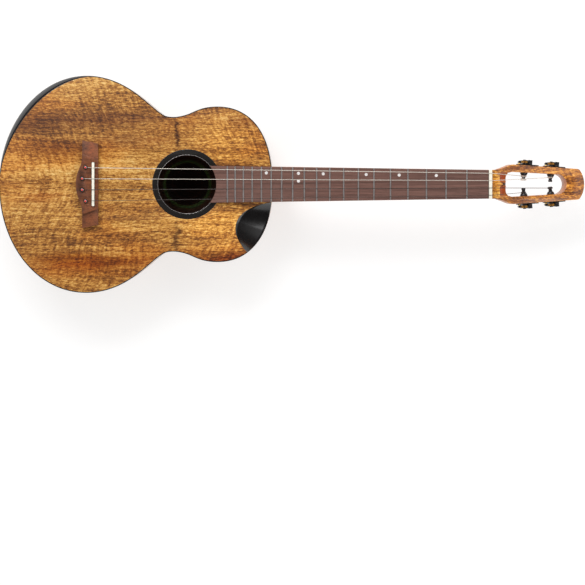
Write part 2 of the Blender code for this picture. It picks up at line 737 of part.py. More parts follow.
def make_neck():
    neck = neck_shaft()
    wood_top = -VENEER_THICKNESS - GAP
    head = plate("head_block", [head_outline(0.0)], -HEAD_THICKNESS, wood_top, HEAD_FACE)
    keep = box("head_start", (-0.02, -0.05, -0.05), (HEAD_BLOCK_FROM, 0.05, 0.02), HEAD_FACE)
    cut(head, keep)
    join(neck, heel(), head)
    outline = window_outline(WINDOW_FROM, WINDOW_CORNER, WINDOW_WIDTH)
    window = plate("window", [outline], -0.04, 0.02, HEAD_FACE)
    body = plate("body_room", [closed_edge(-GAP)], -0.01, TOP_Z + 0.02)
    half = TRUSS_ROD_WIDTH / 2 + GAP
    floor = TOP_Z - TRUSS_ROD_HEIGHT - 2 * GAP
    channel = box("rod_channel", (JOINT_X + TRUSS_ROD_FROM_JOINT - GAP, -half, floor),
                  (HEAD_X + 0.03, half, TOP_Z + 0.01))
    keep_top = box("channel_end", (HEAD_X, -0.01, TOP_Z - TRUSS_ROD_HEIGHT * 0.4),
                   (HEAD_X + 0.05, 0.01, TOP_Z + 0.02))
    cut(channel, keep_top)
    cut(neck, window, body, channel, filler_body("filler_groove", GAP), *ramp_cutters(), *bushing_holes())
    veneer = plate("head_veneer", [head_outline(GAP)], -VENEER_THICKNESS, 0, HEAD_FACE)
    opening = [(RAMP_FROM, RAMP_WIDTH / 2), (WINDOW_FROM + WINDOW_CORNER, WINDOW_WIDTH / 2)]
    half = [point for point in outline[6:] if point[1] >= 0]
    cut(veneer, plate("veneer_window", [mirrored(opening + half)], -0.01, 0.01, HEAD_FACE))


def ramp_cutters():
    """Two sloping cuts that lead the strings down into the window, either side of the truss rod."""
    cutters = []
    run = WINDOW_FROM + WINDOW_CORNER - RAMP_FROM
    slope = math.atan2(RAMP_DROP, run)
    tilt = Matrix.Translation((RAMP_FROM, 0, -VENEER_THICKNESS)) @ Matrix.Rotation(slope, 4, "Y")
    for name, side in (("ramp_bass", 1), ("ramp_treble", -1)):
        near, far = sorted((side * RAMP_BRIDGE / 2, side * RAMP_WIDTH / 2))
        cutters.append(box(name, (0, near, 0), (0.03, far, 0.02), HEAD_FACE @ tilt))
    return cutters


def filler_body(name, grow):
    """The strip let into the back of the neck, along its middle."""
    half = FILLER_WIDTH / 2 + grow
    sections = []
    for x in (JOINT_X + FILLER_FROM_JOINT - grow, NUT_X - HEAD_BLEND_BEFORE_NUT):
        surface = TOP_Z - neck_depth(x)
        low = surface - (0.002 if grow else 0)
        high = surface + FILLER_DEPTH + grow
        sections.append([(x, -half, low), (x, half, low), (x, half, high), (x, -half, high)])
    return loft(name, sections)


def make_truss_rod():
    half = TRUSS_ROD_WIDTH / 2
    high = TOP_Z - GAP
    piece = box("truss_rod", (JOINT_X + TRUSS_ROD_FROM_JOINT, -half, high - TRUSS_ROD_HEIGHT),
                (HEAD_X - TRUSS_ROD_SHORT_OF_HEAD, half, high))
    bevel(piece, 0.0008)
    filler_body("neck_filler", 0)


def make_fretboard():
    far_half = board_half_width(SOUNDHOLE_X + SOUNDHOLE_RADIUS)
    spread = math.asin(far_half / SOUNDHOLE_RADIUS)
    arc = [(SOUNDHOLE_X + SOUNDHOLE_RADIUS * math.cos(a), SOUNDHOLE_RADIUS * math.sin(a))
           for a in np.linspace(0, spread, 9)]
    nut_end = NUT_X - GAP
    outline = mirrored(arc + [(nut_end, board_half_width(nut_end))])
    board = plate("fretboard", [outline], BOARD_LOW, BOARD_HIGH)
    sections = bpy.data.meshes.new("frets")
    work = bmesh.new()
    for number in range(1, FRET_COUNT + 1):
        x = NUT_X - SCALE_LENGTH * (1 - 2 ** (-number / 12))
        half = board_half_width(x) - 0.0004
        made = bmesh.ops.create_cube(work, size=1)["verts"]
        for vert in made:
            crown = 0.55 if vert.co.z > 0 else 1
            vert.co.x = x + vert.co.x * FRET_WIDTH * crown
            vert.co.y = math.copysign(half, vert.co.y)
            vert.co.z = BOARD_HIGH + (FRET_HEIGHT if vert.co.z > 0 else -FRET_HEIGHT)
    work.to_mesh(sections)
    work.free()
    join(board, mesh_object("frets", sections))


def make_nut():
    half = board_half_width(NUT_X)
    nut = box("nut", (NUT_X, -half, TOP_Z + GAP), (HEAD_X - GAP, half, TOP_Z + NUT_HEIGHT))
    bevel(nut, 0.0007, 2)


# Bridge, saddle, pins and strings

def string_y(index, spread):
    return spread * (0.5 - index / (len(STRING_NAMES) - 1))


def pin_places():
    return [(SADDLE_X - setback, string_y(i, PIN_SPREAD)) for i, setback in enumerate(PIN_SETBACKS)]


def pin_holes():
    holes = []
    for name, (x, y) in zip(STRING_NAMES, pin_places()):
        place = Matrix.Translation((x, y, BRIDGE_HIGH))
        hole = rod("pin_hole_" + name, PIN_SHANK_RADIUS + GAP + 0.0001, -0.03, 0.01, place, 12)
        holes.append(as_cutter(hole))
    return holes


def make_bridge(pins):
    bulge = bezier((-BRIDGE_BULGE, 0), (-BRIDGE_BULGE, BULGE_HALF_SPAN * 0.55),
                   (-BRIDGE_REAR, BULGE_HALF_SPAN * 0.55), (-BRIDGE_REAR, BULGE_HALF_SPAN), 10)
    rear = [tuple(p) for p in bulge]
    wings = rear + [(-BRIDGE_REAR, WING_REAR), (BRIDGE_FRONT, WING_FRONT)]
    block = rear + [(-BRIDGE_REAR, STEP_REAR), (BRIDGE_FRONT, STEP_FRONT)]
    shift = Matrix.Translation((SADDLE_X, 0, 0))
    bridge = plate("bridge", [mirrored(wings)], BRIDGE_LOW, BRIDGE_LOW + WING_HEIGHT, shift)
    join(bridge, plate("bridge_block", [mirrored(block)], BRIDGE_LOW + WING_HEIGHT / 2, BRIDGE_HIGH, shift))
    half_x, half_y = SADDLE_THICKNESS / 2 + GAP, SADDLE_LENGTH / 2 + GAP
    slot = box("saddle_slot", (-half_x, -half_y, BRIDGE_HIGH - SADDLE_SEAT),
               (half_x, half_y, BRIDGE_HIGH + 0.01), shift)
    cut(bridge, slot, *pins)


def make_saddle():
    saddle = box("saddle", (-SADDLE_THICKNESS / 2, -SADDLE_LENGTH / 2, BRIDGE_HIGH - SADDLE_SEAT + GAP),
                 (SADDLE_THICKNESS / 2, SADDLE_LENGTH / 2, BRIDGE_HIGH + SADDLE_PROUD),
                 Matrix.Translation((SADDLE_X, 0, 0)))
    bevel(saddle, 0.0009, 2)


def make_pins():
    head, shank = PIN_HEAD_RADIUS, PIN_SHANK_RADIUS
    for name, (x, y) in zip(STRING_NAMES, pin_places()):
        top = PIN_HEAD_HEIGHT + GAP
        profile = [(0, top), (head * 0.6, top - 0.0003), (head * 0.95, top - 0.0011), (head, top - 0.0017),
                   (head * 0.9, GAP), (shank, GAP), (shank * 0.8, -PIN_LENGTH), (0, -PIN_LENGTH)]
        pin = turned("bridge_pin_" + name, profile, Matrix.Translation((x, y, BRIDGE_HIGH)), 12)
        smooth(pin)


def string_route(index):
    """The string's points: pin, saddle, nut and the top of its post."""
    radius = STRING_DIAMETERS[index] / 2
    pin_x, pin_y = pin_places()[index]
    rise = radius + GAP
    saddle_y = string_y(index, SADDLE_SPREAD)
    nut_y = string_y(index, NUT_SPREAD)
    saddle_z = BRIDGE_HIGH + SADDLE_PROUD + rise
    nut_z = TOP_Z + NUT_HEIGHT + rise
    far = Vector((HEAD_X - 0.0005, nut_y, nut_z))
    start = HEAD_FACE.inverted() @ far
    post_u, side = TUNER_AT[index], TUNER_SIDES[index]
    spot = POST_SPOTS[index]
    centre_u = post_u - (head_half_width(post_u) - side * spot) * HEAD_TAPER
    wrap = ROLLER_RADIUS + rise
    run, fall = centre_u - start.x, -HEAD_THICKNESS / 2 - start.z
    distance = math.hypot(run, fall)
    angle = math.atan2(fall, run) + math.asin(wrap / distance)
    reach = math.sqrt(distance ** 2 - wrap ** 2)
    touch = HEAD_FACE @ Vector((start.x + reach * math.cos(angle), spot, start.z + reach * math.sin(angle)))
    pin_z = BRIDGE_HIGH + rise
    return [(pin_x + PIN_HEAD_RADIUS + rise + 0.0002, pin_y, pin_z),
            (SADDLE_X - SADDLE_THICKNESS / 2, saddle_y, saddle_z),
            (SADDLE_X + SADDLE_THICKNESS / 2, saddle_y, saddle_z),
            (NUT_X + 0.0008, nut_y, nut_z), far, touch]


def make_strings():
    for index, name in enumerate(STRING_NAMES):
        curve = bpy.data.curves.new("string_" + name, "CURVE")
        curve.dimensions = "3D"
        curve.bevel_depth = STRING_DIAMETERS[index] / 2
        curve.bevel_resolution = 2
        curve.use_fill_caps = True
        route = string_route(index)
        spline = curve.splines.new("POLY")
        spline.points.add(len(route) - 1)
        for point, place in zip(spline.points, route):
            point.co = (*place, 1)
        string = bpy.data.objects.new("string_" + name, curve)
        PARTS.objects.link(string)


# Tuners

def tuner_frame(index):
    """Axes of one tuner: X along the head's edge, Y along the post to the bass side, Z out of the face."""
    u, side = TUNER_AT[index], TUNER_SIDES[index]
    angle = math.atan(HEAD_TAPER)
    place = Matrix.Translation((u, side * head_half_width(u), -HEAD_THICKNESS / 2))
    return HEAD_FACE @ place @ Matrix.Rotation(-side * angle, 4, "Z")


def outward(index):
    """The tuner's frame turned so that its own Z points away from the head, along the post."""
    return tuner_frame(index) @ Matrix.Rotation(-TUNER_SIDES[index] * math.pi / 2, 4, "X")


def gear_frame(index):
    return tuner_frame(index) @ Matrix.Translation((0, TUNER_SIDES[index] * MECHANISM_OUT, 0))


def knob_frame(index):
    return gear_frame(index) @ Matrix.Translation((WORM_OFFSET, 0, 0))


def bar_width(index):
    u = TUNER_AT[index]
    return (head_half_width(u) - window_half_width(u)) * math.cos(math.atan(HEAD_TAPER))


def bushing_holes():
    return [rod("bushing_hole_" + name, BUSHING_RADIUS + GAP, -0.012, 0.004, outward(i), 16)
            for i, name in enumerate(TUNER_NAMES)]


def make_bushing(index, name):
    wall = -bar_width(index) - GAP
    end = wall - BUSHING_FLANGE_LENGTH
    profile = [(BUSHING_RADIUS, -GAP), (BUSHING_RADIUS, wall), (BUSHING_FLANGE, wall),
               (BUSHING_FLANGE, wall - 0.0008), (BUSHING_BORE + 0.0006, end), (BUSHING_BORE, end),
               (BUSHING_BORE, -GAP)]
    return smooth(turned("bushing_" + name, profile, outward(index), 16, ring=True))


def make_post(index, name):
    """String post: a waisted roller in the window, a shaft in the bushing and a gear seat."""
    tip = -bar_width(index) - POST_REACH
    inner = -bar_width(index) - BUSHING_FLANGE_LENGTH
    seat = MECHANISM_OUT - GEAR_WIDTH / 2 - GAP
    head = MECHANISM_OUT + GEAR_WIDTH / 2 + GAP
    bore = GEAR_BORE - GAP
    full, waist = ROLLER_RADIUS, ROLLER_WAIST
    middle = (tip + inner) / 2
    profile = [(0, head + 0.0012), (0.0018, head + 0.0012), (0.0023, head), (bore, head), (bore, seat),
               (full, seat), (full, inner), (waist, middle), (full, tip + 0.0010), (full - 0.0005, tip),
               (0, tip)]
    return smooth(turned("post_" + name, profile, outward(index), 14))


def gear_sections():
    """Sections of a narrow gear about its own Y, its teeth slanted to follow the worm's thread."""
    lead = math.atan(WORM_PITCH / (2 * math.pi * WORM_RADIUS))
    sections = []
    tip, root = GEAR_RADIUS + TOOTH_HALF_HEIGHT, GEAR_RADIUS - TOOTH_HALF_HEIGHT - TOOTH_ROOT_EXTRA
    for share in (-0.5, 0.5):
        y = share * GEAR_WIDTH
        twist = y * math.tan(lead) / GEAR_RADIUS
        ring = []
        for tooth in range(GEAR_TEETH):
            centre = 2 * math.pi * tooth / GEAR_TEETH
            for radius, side in ((root, -1), (tip, -1), (tip, 1), (root, 1)):
                half = TOOTH_THICKNESS / 2 + PRESSURE_SLOPE * (GEAR_RADIUS - radius)
                angle = centre + twist + side * half / radius
                ring.append((radius * math.cos(angle), y, radius * math.sin(angle)))
        sections.append(ring)
    return sections


def gear_object():
    across = Matrix.Rotation(math.pi / 2, 4, "X")
    return baked(cut(loft("gear", gear_sections()), rod("gear_bore", GEAR_BORE, -0.01, 0.01, across)))


def worm_object():
    """The worm about its own Z: a right-handed thread on a shaft that runs down to the button."""
    core = WORM_RADIUS - TOOTH_HALF_HEIGHT - TOOTH_ROOT_EXTRA
    half = WORM_LENGTH / 2
    lug_end = half + LUG_PLAY + LUG_THICKNESS
    button_top = -HEAD_THICKNESS / 2 - BUTTON_BELOW_HEAD
    collar_top = -lug_end - LUG_PLAY
    shaft_top = lug_end + SHAFT_PAST_LUG
    shaft_end = button_top - SHAFT_IN_BUTTON
    collar = SHAFT_RADIUS + COLLAR_WIDTH
    collar_end = button_top + 2 * GAP
    profile = [(0, shaft_top), (SHAFT_RADIUS, shaft_top), (SHAFT_RADIUS, half), (core, half), (core, -half),
               (SHAFT_RADIUS, -half), (SHAFT_RADIUS, collar_top), (collar, collar_top), (collar, collar_end),
               (SHAFT_RADIUS, collar_end), (SHAFT_RADIUS, shaft_end), (0, shaft_end)]
    steps = 12
    worm = turned("worm", profile, Matrix.Identity(4), steps)
    sink = 0.00012
    turns = 4
    outer = WORM_RADIUS + TOOTH_HALF_HEIGHT
    sections = []
    for i in range(turns * steps + 1):
        turn = i / steps
        angle = 2 * math.pi * turn
        middle = WORM_PITCH * (turn - turns / 2)
        ring = []
        for radius, side in ((core - sink, -1), (outer, -1), (outer, 1), (core - sink, 1)):
            width = TOOTH_THICKNESS / 2 + PRESSURE_SLOPE * (WORM_RADIUS - radius)
            ring.append((radius * math.cos(angle), radius * math.sin(angle), middle + side * width))
        sections.append(ring)
    thread = loft("thread", sections)
    join(worm, thread)
    return baked(worm)


def button_object():
    """A flattened faceted button that hangs behind the head on the worm's shaft."""
    top = -HEAD_THICKNESS / 2 - BUTTON_BELOW_HEAD
    sections = []
    for share, wide, thick in ((0, 0.36, 0.80), (0.10, 0.50, 0.92), (0.42, 1.0, 1.0), (0.80, 0.96, 0.96),
                               (1.0, 0.80, 0.66)):
        z = top - share * BUTTON_LENGTH
        ring = []
        for angle in np.linspace(0, 2 * math.pi, 13)[:-1]:
            x = BUTTON_WIDTH / 2 * wide * math.copysign(abs(math.cos(angle)) ** 0.8, math.cos(angle))
            y = BUTTON_THICKNESS / 2 * thick * math.copysign(abs(math.sin(angle)) ** 0.8, math.sin(angle))
            ring.append((x, y, z))
        sections.append(ring)
    button = loft("button", sections)
    bottom = top - SHAFT_IN_BUTTON - GAP
    cut(button, rod("button_bore", SHAFT_RADIUS + GAP, bottom, top + 0.001, Matrix.Identity(4), 14))
    return baked(button)


def tuner_plate(index, name):
    """The mounting plate on the head's edge, with two lugs that hold the worm."""
    end = PLATE_END_HALF_HEIGHT
    half = PLATE_HALF_HEIGHT
    wide_from, wide_to = PLATE_WIDE_FROM, PLATE_WIDE_TO
    outline = [(-PLATE_NUTWARD, -end), (wide_from, -half), (wide_to, -half), (PLATE_TIPWARD, -end),
               (PLATE_TIPWARD, end), (wide_to, half), (wide_from, half), (-PLATE_NUTWARD, end)]
    frame = outward(index)
    base = plate("tuner_plate_" + name, [outline], GAP, GAP + PLATE_THICKNESS, frame)
    inside = WORM_LENGTH / 2 + LUG_PLAY
    for side in (-1, 1):
        near, far = sorted((side * inside, side * (inside + LUG_THICKNESS)))
        join(base, box("lug", (WORM_OFFSET - LUG_HALF_WIDTH, near, GAP + PLATE_THICKNESS / 2),
                       (WORM_OFFSET + LUG_HALF_WIDTH, far, MECHANISM_OUT + LUG_HALF_WIDTH), frame))
    hole = rod("post_hole", ROLLER_RADIUS + 2 * GAP, -0.004, 0.01, frame, 14)
    shaft = rod("shaft_hole", SHAFT_RADIUS + GAP, -0.02, 0.02, knob_frame(index), 12)
    cut(base, hole, shaft)


def smooth(obj, angle=35):
    """Smooth shading between gentle angles, for a piece whose mesh or turned profile is round."""
    for modifier in obj.modifiers:
        if modifier.type == "SCREW":
            modifier.use_smooth_shade = True
            return obj
    obj.data.shade_smooth()
    obj.data.set_sharp_from_angle(angle=math.radians(angle))
    return obj


def make_tuners():
    worm = worm_object()
    button = button_object()
    gear = gear_object()
    for index, name in enumerate(TUNER_NAMES):
        tuner_plate(index, name)
        make_bushing(index, name)
        make_post(index, name)
        mesh_object("gear_" + name, gear.data, gear_frame(index))
        mesh_object("worm_" + name, worm.data, knob_frame(index))
        mesh_object("button_" + name, button.data, knob_frame(index))
    for pattern in (worm, button, gear):
        bpy.data.objects.remove(pattern)


FINISHES = {
    "koa": ((0.50, 0.27, 0.09), 0.25, 0.0),
    "neck_wood": ((0.62, 0.30, 0.08), 0.35, 0.0),
    "spruce": ((0.70, 0.55, 0.34), 0.7, 0.0),
    "rosewood": ((0.17, 0.08, 0.05), 0.45, 0.0),
    "ebony": ((0.015, 0.013, 0.012), 0.12, 0.0),
    "bone": ((0.88, 0.84, 0.74), 0.3, 0.0),
    "black_metal": ((0.03, 0.028, 0.03), 0.3, 0.8),
    "brass": ((0.62, 0.42, 0.16), 0.3, 1.0),
    "steel": ((0.5, 0.5, 0.5), 0.35, 1.0),
    "wound": ((0.80, 0.74, 0.66), 0.3, 0.8),
    "nylon": ((0.12, 0.10, 0.10), 0.3, 0.0),
    "button": ((0.02, 0.018, 0.018), 0.2, 0.0),
}

FINISH_OF = (
    (("soundboard", "back", "side_", "head_veneer"), "koa"),
    (("neck_filler", "armrest", "cutaway", "binding", "rosette", "bridge_pin"), "ebony"),
    (("neck_block", "tail_block", "lining", "top_brace", "back_brace", "fan_brace"), "spruce"),
    (("bridge_plate",), "spruce"),
    (("neck",), "neck_wood"),
    (("fretboard", "bridge"), "rosewood"),
    (("nut", "saddle"), "bone"),
    (("string_d", "string_g"), "wound"),
    (("string_b", "string_e"), "nylon"),
    (("truss_rod",), "steel"),
    (("gear",), "brass"),
    (("button",), "button"),
    (("tuner_plate", "bushing", "post", "worm"), "black_metal"),
)


def finish_of(name):
    exact = {"back": "koa", "neck": "neck_wood", "bridge": "rosewood"}
    if name in exact:
        return exact[name]
    return next(finish for starts, finish in FINISH_OF if name.startswith(starts))


def give_finishes():
    made = {name: material(name, *values) for name, values in FINISHES.items()}
    for obj in PARTS.objects:
        obj.data.materials.clear()
        obj.data.materials.append(made[finish_of(obj.name)])


clear_scene()
PARTS = new_collection("ukulele")
CUTTERS = new_collection("cutters")
bevel_rooms = make_bevels()
holes = pin_holes()
make_back()
make_soundboard(bevel_rooms, holes)
make_sides(bevel_rooms)
make_linings(bevel_rooms)
make_blocks(bevel_rooms)
make_braces()
make_bridge_plate(holes)
make_rosette()
make_bindings()
make_neck()
make_truss_rod()
make_fretboard()
make_nut()
make_bridge(holes)
make_saddle()
make_pins()
make_strings()
make_tuners()
give_finishes()
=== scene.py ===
import json
import math

import bmesh
import bpy
import numpy as np
from mathutils import Matrix, Vector

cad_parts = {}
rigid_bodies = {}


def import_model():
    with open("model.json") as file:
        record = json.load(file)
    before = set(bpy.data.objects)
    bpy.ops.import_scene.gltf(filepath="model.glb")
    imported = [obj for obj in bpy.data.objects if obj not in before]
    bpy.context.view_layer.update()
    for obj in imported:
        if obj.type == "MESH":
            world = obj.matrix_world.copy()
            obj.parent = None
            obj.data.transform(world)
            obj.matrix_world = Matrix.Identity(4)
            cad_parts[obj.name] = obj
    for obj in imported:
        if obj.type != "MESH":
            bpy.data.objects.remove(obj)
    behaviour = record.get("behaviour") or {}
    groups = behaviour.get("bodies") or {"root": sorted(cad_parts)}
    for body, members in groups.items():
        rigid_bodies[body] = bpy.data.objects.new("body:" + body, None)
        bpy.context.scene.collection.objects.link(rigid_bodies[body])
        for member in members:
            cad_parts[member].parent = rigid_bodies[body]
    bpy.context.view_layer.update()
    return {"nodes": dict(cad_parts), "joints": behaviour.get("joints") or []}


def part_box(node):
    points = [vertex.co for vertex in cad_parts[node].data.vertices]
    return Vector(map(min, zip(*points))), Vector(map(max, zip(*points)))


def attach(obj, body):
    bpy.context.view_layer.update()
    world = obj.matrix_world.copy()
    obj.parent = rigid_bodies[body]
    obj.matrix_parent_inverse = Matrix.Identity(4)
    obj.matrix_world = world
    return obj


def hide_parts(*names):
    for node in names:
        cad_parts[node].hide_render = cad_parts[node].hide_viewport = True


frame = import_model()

nodes = frame["nodes"]
joints = {joint["name"]: joint for joint in frame["joints"]}
tunerNames = ("bass_near", "bass_far", "treble_far", "treble_near")
stringNames = ("d", "g", "b", "e")
gap = 0.0003
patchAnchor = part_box("back")[0].x + 0.3813


# Colours and materials

def srgb(red, green, blue):
    # screen colour, 0 to 255, to the linear one that a shader takes
    return tuple(c / 12.92 if c <= 0.04045 else ((c + 0.055) / 1.055) ** 2.4
                 for c in (red / 255, green / 255, blue / 255)) + (1.0,)


def feed(tree, socket, value):
    value = getattr(value, "socket", value)
    if isinstance(value, bpy.types.NodeSocket):
        tree.links.new(value, socket)
    else:
        socket.default_value = value


def makeNode(tree, kind, settings, inputs):
    node = tree.nodes.new(kind)
    for name, value in settings.items():
        setattr(node, name, value)
    for key, value in inputs.items():
        feed(tree, node.inputs[key], value)
    return node


class Value:
    # a number in a shader, written in plain arithmetic
    def __init__(self, finish, socket):
        self.finish = finish
        self.socket = socket

    def math(self, operation, *others):
        values = dict(enumerate((self, *others)))
        node = self.finish.make("ShaderNodeMath", {"operation": operation}, values)
        return Value(self.finish, node.outputs[0])

    def flipped(self, operation, other):
        node = self.finish.make("ShaderNodeMath", {"operation": operation}, {0: other, 1: self})
        return Value(self.finish, node.outputs[0])

    def __add__(self, other):
        return self.math("ADD", other)

    def __radd__(self, other):
        return self.flipped("ADD", other)

    def __sub__(self, other):
        return self.math("SUBTRACT", other)

    def __rsub__(self, other):
        return self.flipped("SUBTRACT", other)

    def __mul__(self, other):
        return self.math("MULTIPLY", other)

    def __rmul__(self, other):
        return self.flipped("MULTIPLY", other)

    def __truediv__(self, other):
        return self.math("DIVIDE", other)

    def __pow__(self, other):
        return self.math("POWER", other)

    def __abs__(self):
        return self.math("ABSOLUTE")

    def between(self, low, high):
        # 0 below low, 1 above high, smooth between; low may be the larger
        settings = {"interpolation_type": "SMOOTHSTEP"}
        node = self.finish.make("ShaderNodeMapRange", settings, {0: self, 1: low, 2: high, 3: 0.0, 4: 1.0})
        return Value(self.finish, node.outputs[0])

    def hump(self, middle, width):
        # 1 at the middle, falling off smoothly over the width
        away = (self - middle) / width
        return (1.0 + away * away).flipped("DIVIDE", 1.0) ** 2.0


class Finish:
    # the shader of a material, or of another owner such as a world
    def __init__(self, name, owner=None):
        self.material = owner or bpy.data.materials.new(name)
        self.material.use_nodes = True
        self.tree = self.material.node_tree
        self.shader = self.tree.nodes.get("Principled BSDF")

    def make(self, kind, settings, inputs):
        return makeNode(self.tree, kind, settings, inputs)

    def place(self, attribute=None, space="Object"):
        # x, y and z of a place, or of a vector kept in the mesh
        if attribute:
            source = self.make("ShaderNodeAttribute", {"attribute_name": attribute}, {}).outputs["Vector"]
        else:
            source = self.make("ShaderNodeTexCoord", {}, {}).outputs[space]
        node = self.make("ShaderNodeSeparateXYZ", {}, {0: source})
        return [Value(self, socket) for socket in node.outputs]

    def noise(self, x, y, z, detail=3.0, roughness=0.5, distortion=0.0):
        # the place is given in units of the pattern's own size
        place = self.make("ShaderNodeCombineXYZ", {}, {0: x, 1: y, 2: z}).outputs[0]
        node = self.make("ShaderNodeTexNoise", {}, {"Vector": place, "Scale": 1.0, "Detail": detail,
                                                    "Roughness": roughness, "Distortion": distortion})
        return Value(self, node.outputs[0])

    def speckle(self, scaleX, scaleY, scaleZ, *shape):
        # noise at the object's own place, with a scale for each direction
        x, y, z = self.place()
        return self.noise(x * scaleX, y * scaleY, z * scaleZ, *shape)

    def ramp(self, amount, stops):
        node = self.make("ShaderNodeValToRGB", {}, {0: amount})
        while len(node.color_ramp.elements) < len(stops):
            node.color_ramp.elements.new(0.5)
        for element, (place, colour) in zip(node.color_ramp.elements, stops):
            element.position = place
            element.color = colour
        return node.outputs[0]

    def mix(self, amount, first, second, blend="MIX"):
        settings = {"data_type": "RGBA", "blend_type": blend}
        return self.make("ShaderNodeMix", settings, {0: amount, 6: first, 7: second}).outputs[2]

    def stain(self, colour, other):
        return self.mix(1.0, colour, other, "MULTIPLY")

    def tint(self, colour, amount, dark, light):
        # brightens or darkens a colour: amount 0 gives dark times it, 1 gives light times it
        shade = self.ramp(amount, [(0.0, (dark, dark, dark, 1)), (1.0, (light, light, light, 1))])
        return self.stain(colour, shade)

    def patched(self, base, x, y, patch):
        # a stained place, soft at its edge: (x from the anchor, y, length, width, strength, colour); a
        # colour above 1 lightens, and the bridge's lightening places are painted highlight
        middleX, middleY, length, width, strength, colour = patch
        cover = x.hump(patchAnchor + middleX, length) * y.hump(middleY, width)
        return self.mix((cover * strength * 1.6).math("MINIMUM", strength), base, self.stain(base, colour))

    def bump(self, height, distance, strength=1.0):
        inputs = {"Height": height, "Distance": distance, "Strength": strength}
        return self.make("ShaderNodeBump", {}, inputs).outputs[0]

    def wear(self, **sockets):
        # last step: feeds the shader, with names such as baseColor for Base Color
        names = {"baseColor": "Base Color", "coat": "Coat Weight", "coatRoughness": "Coat Roughness",
                 "specular": "Specular IOR Level", "roughness": "Roughness", "metallic": "Metallic",
                 "normal": "Normal"}
        for name, value in sockets.items():
            feed(self.tree, self.shader.inputs[names[name]], value)
        return self.material


# Figured body wood

bodyWood = {
    "tones": [(0.22, srgb(92, 54, 24)), (0.40, srgb(146, 92, 38)), (0.54, srgb(186, 128, 58)),
              (0.68, srgb(218, 164, 84)), (0.84, srgb(238, 198, 124))],
    "pore": srgb(70, 40, 20),
    "streakWidth": 0.0044,
    "curlPitch": 0.0044,
    "broad": 0.9,
    "streak": 0.85,
    "fleck": 1.75,
    "curl": 0.75,
    "bump": 0.00006,
}


def bodyTone(wood, broad, streak, fleck, ripple, curl):
    tone = 0.5 + (broad - 0.5) * bodyWood["broad"] + (streak - 0.5) * bodyWood["streak"]
    tone = tone + (fleck - 0.5) * bodyWood["fleck"] + (ripple - 0.5) * bodyWood["curl"] * curl
    return wood.ramp(tone, bodyWood["tones"])


def figuredWood(name, zones, mirror=True, shift=0, tint=(1, 1, 1, 1), coat=0.7, greyAbove=None):
    # zones are stained patches along the grain, as in Finish.patched
    wood = Finish(name)
    x, y, z = wood.place()
    across = abs(y) if mirror else y
    half = y.between(-0.0004, 0.0004)
    drift = wood.noise(x * 5 + shift, across * 11, half * 3, 2) - 0.5
    grain = across + drift * 0.020 + z * 0.7
    along = x + drift * 0.004
    broad = wood.noise(along * 3.6 + shift, grain * 34, half * 0.6, 4, 0.62)
    streak = wood.noise(along * 15, grain / bodyWood["streakWidth"], half, 4, 0.7)
    rough = along + grain * 0.5
    fleck = wood.noise(rough * 175 + shift, grain * 520, half * 5, 4, 0.8)
    slant = along + grain * 0.35 + drift * 0.03
    ripple = wood.noise(slant / bodyWood["curlPitch"], grain * 40, half, 3, 0.6)
    curlRoom = wood.noise(x * 9 + shift, across * 14, 4, 1).between(0.40, 0.60)
    base = bodyTone(wood, broad, streak, fleck, ripple, 0.35 + 0.65 * curlRoom)
    golden = wood.noise(x * 7, y * 16, 9 + shift, 3).between(0.48, 0.66)
    base = wood.mix(golden * 0.5, base, wood.stain(base, srgb(255, 210, 120)))
    if greyAbove is not None:
        wavy = wood.noise(x * 9, 0, 3, 3) - 0.5
        upper = (y + wavy * 0.09).between(greyAbove - 0.012, greyAbove + 0.012)
        dull = wood.stain(base, srgb(206, 190, 184))
        base = wood.mix(upper, wood.stain(base, srgb(255, 214, 150)), dull)
    for zone in zones:
        ragged = wood.noise(x * 22, y * 70, (patchAnchor + zone[0]) * 40, 4, 0.7) - 0.5
        base = wood.patched(base, x + ragged * 0.03, y + ragged * 0.016, zone)
    pores = wood.noise(x * 200, grain * 1300, 2, 2, 0.6).between(0.60, 0.70)
    lines = wood.noise(x * 12, grain * 380, 6, 2, 0.6).between(0.58, 0.72)
    base = wood.mix(pores * 0.5 + lines * 0.25, base, bodyWood["pore"])
    base = wood.stain(base, tint)
    height = fleck * 0.6 + pores * -0.8 + ripple * 0.3
    return wood.wear(baseColor=base, roughness=0.34 + 0.12 * fleck, coat=coat, coatRoughness=0.09,
                     specular=0.4, normal=wood.bump(height, bodyWood["bump"], 0.35))


def sideWood(name):
    # the sides follow their own length, so the grain reads the piece's alongSide attribute
    wood = Finish(name)
    along, height, _ = wood.place("alongSide")
    drift = wood.noise(along * 5, height * 9, 0, 2) - 0.5
    grain = height + drift * 0.018
    broad = wood.noise(along * 3, grain * 40, 0, 4, 0.6)
    streak = wood.noise(along * 14, grain * 170, 1, 4, 0.7)
    fleck = wood.noise(along * 150, grain * 430, 0, 4, 0.8)
    ripple = wood.noise(along * 200 + grain * 40, grain * 24, 0, 2, 0.5)
    base = bodyTone(wood, broad, streak, fleck, ripple, 0.7)
    pores = wood.noise(along * 240, grain * 1700, 2, 2, 0.6).between(0.66, 0.74)
    base = wood.mix(pores * 0.4, base, bodyWood["pore"])
    return wood.wear(baseColor=base, roughness=0.34 + 0.12 * fleck, coat=0.7, coatRoughness=0.09,
                     specular=0.4, normal=wood.bump(fleck * 0.6 - pores * 0.8, bodyWood["bump"], 0.35))


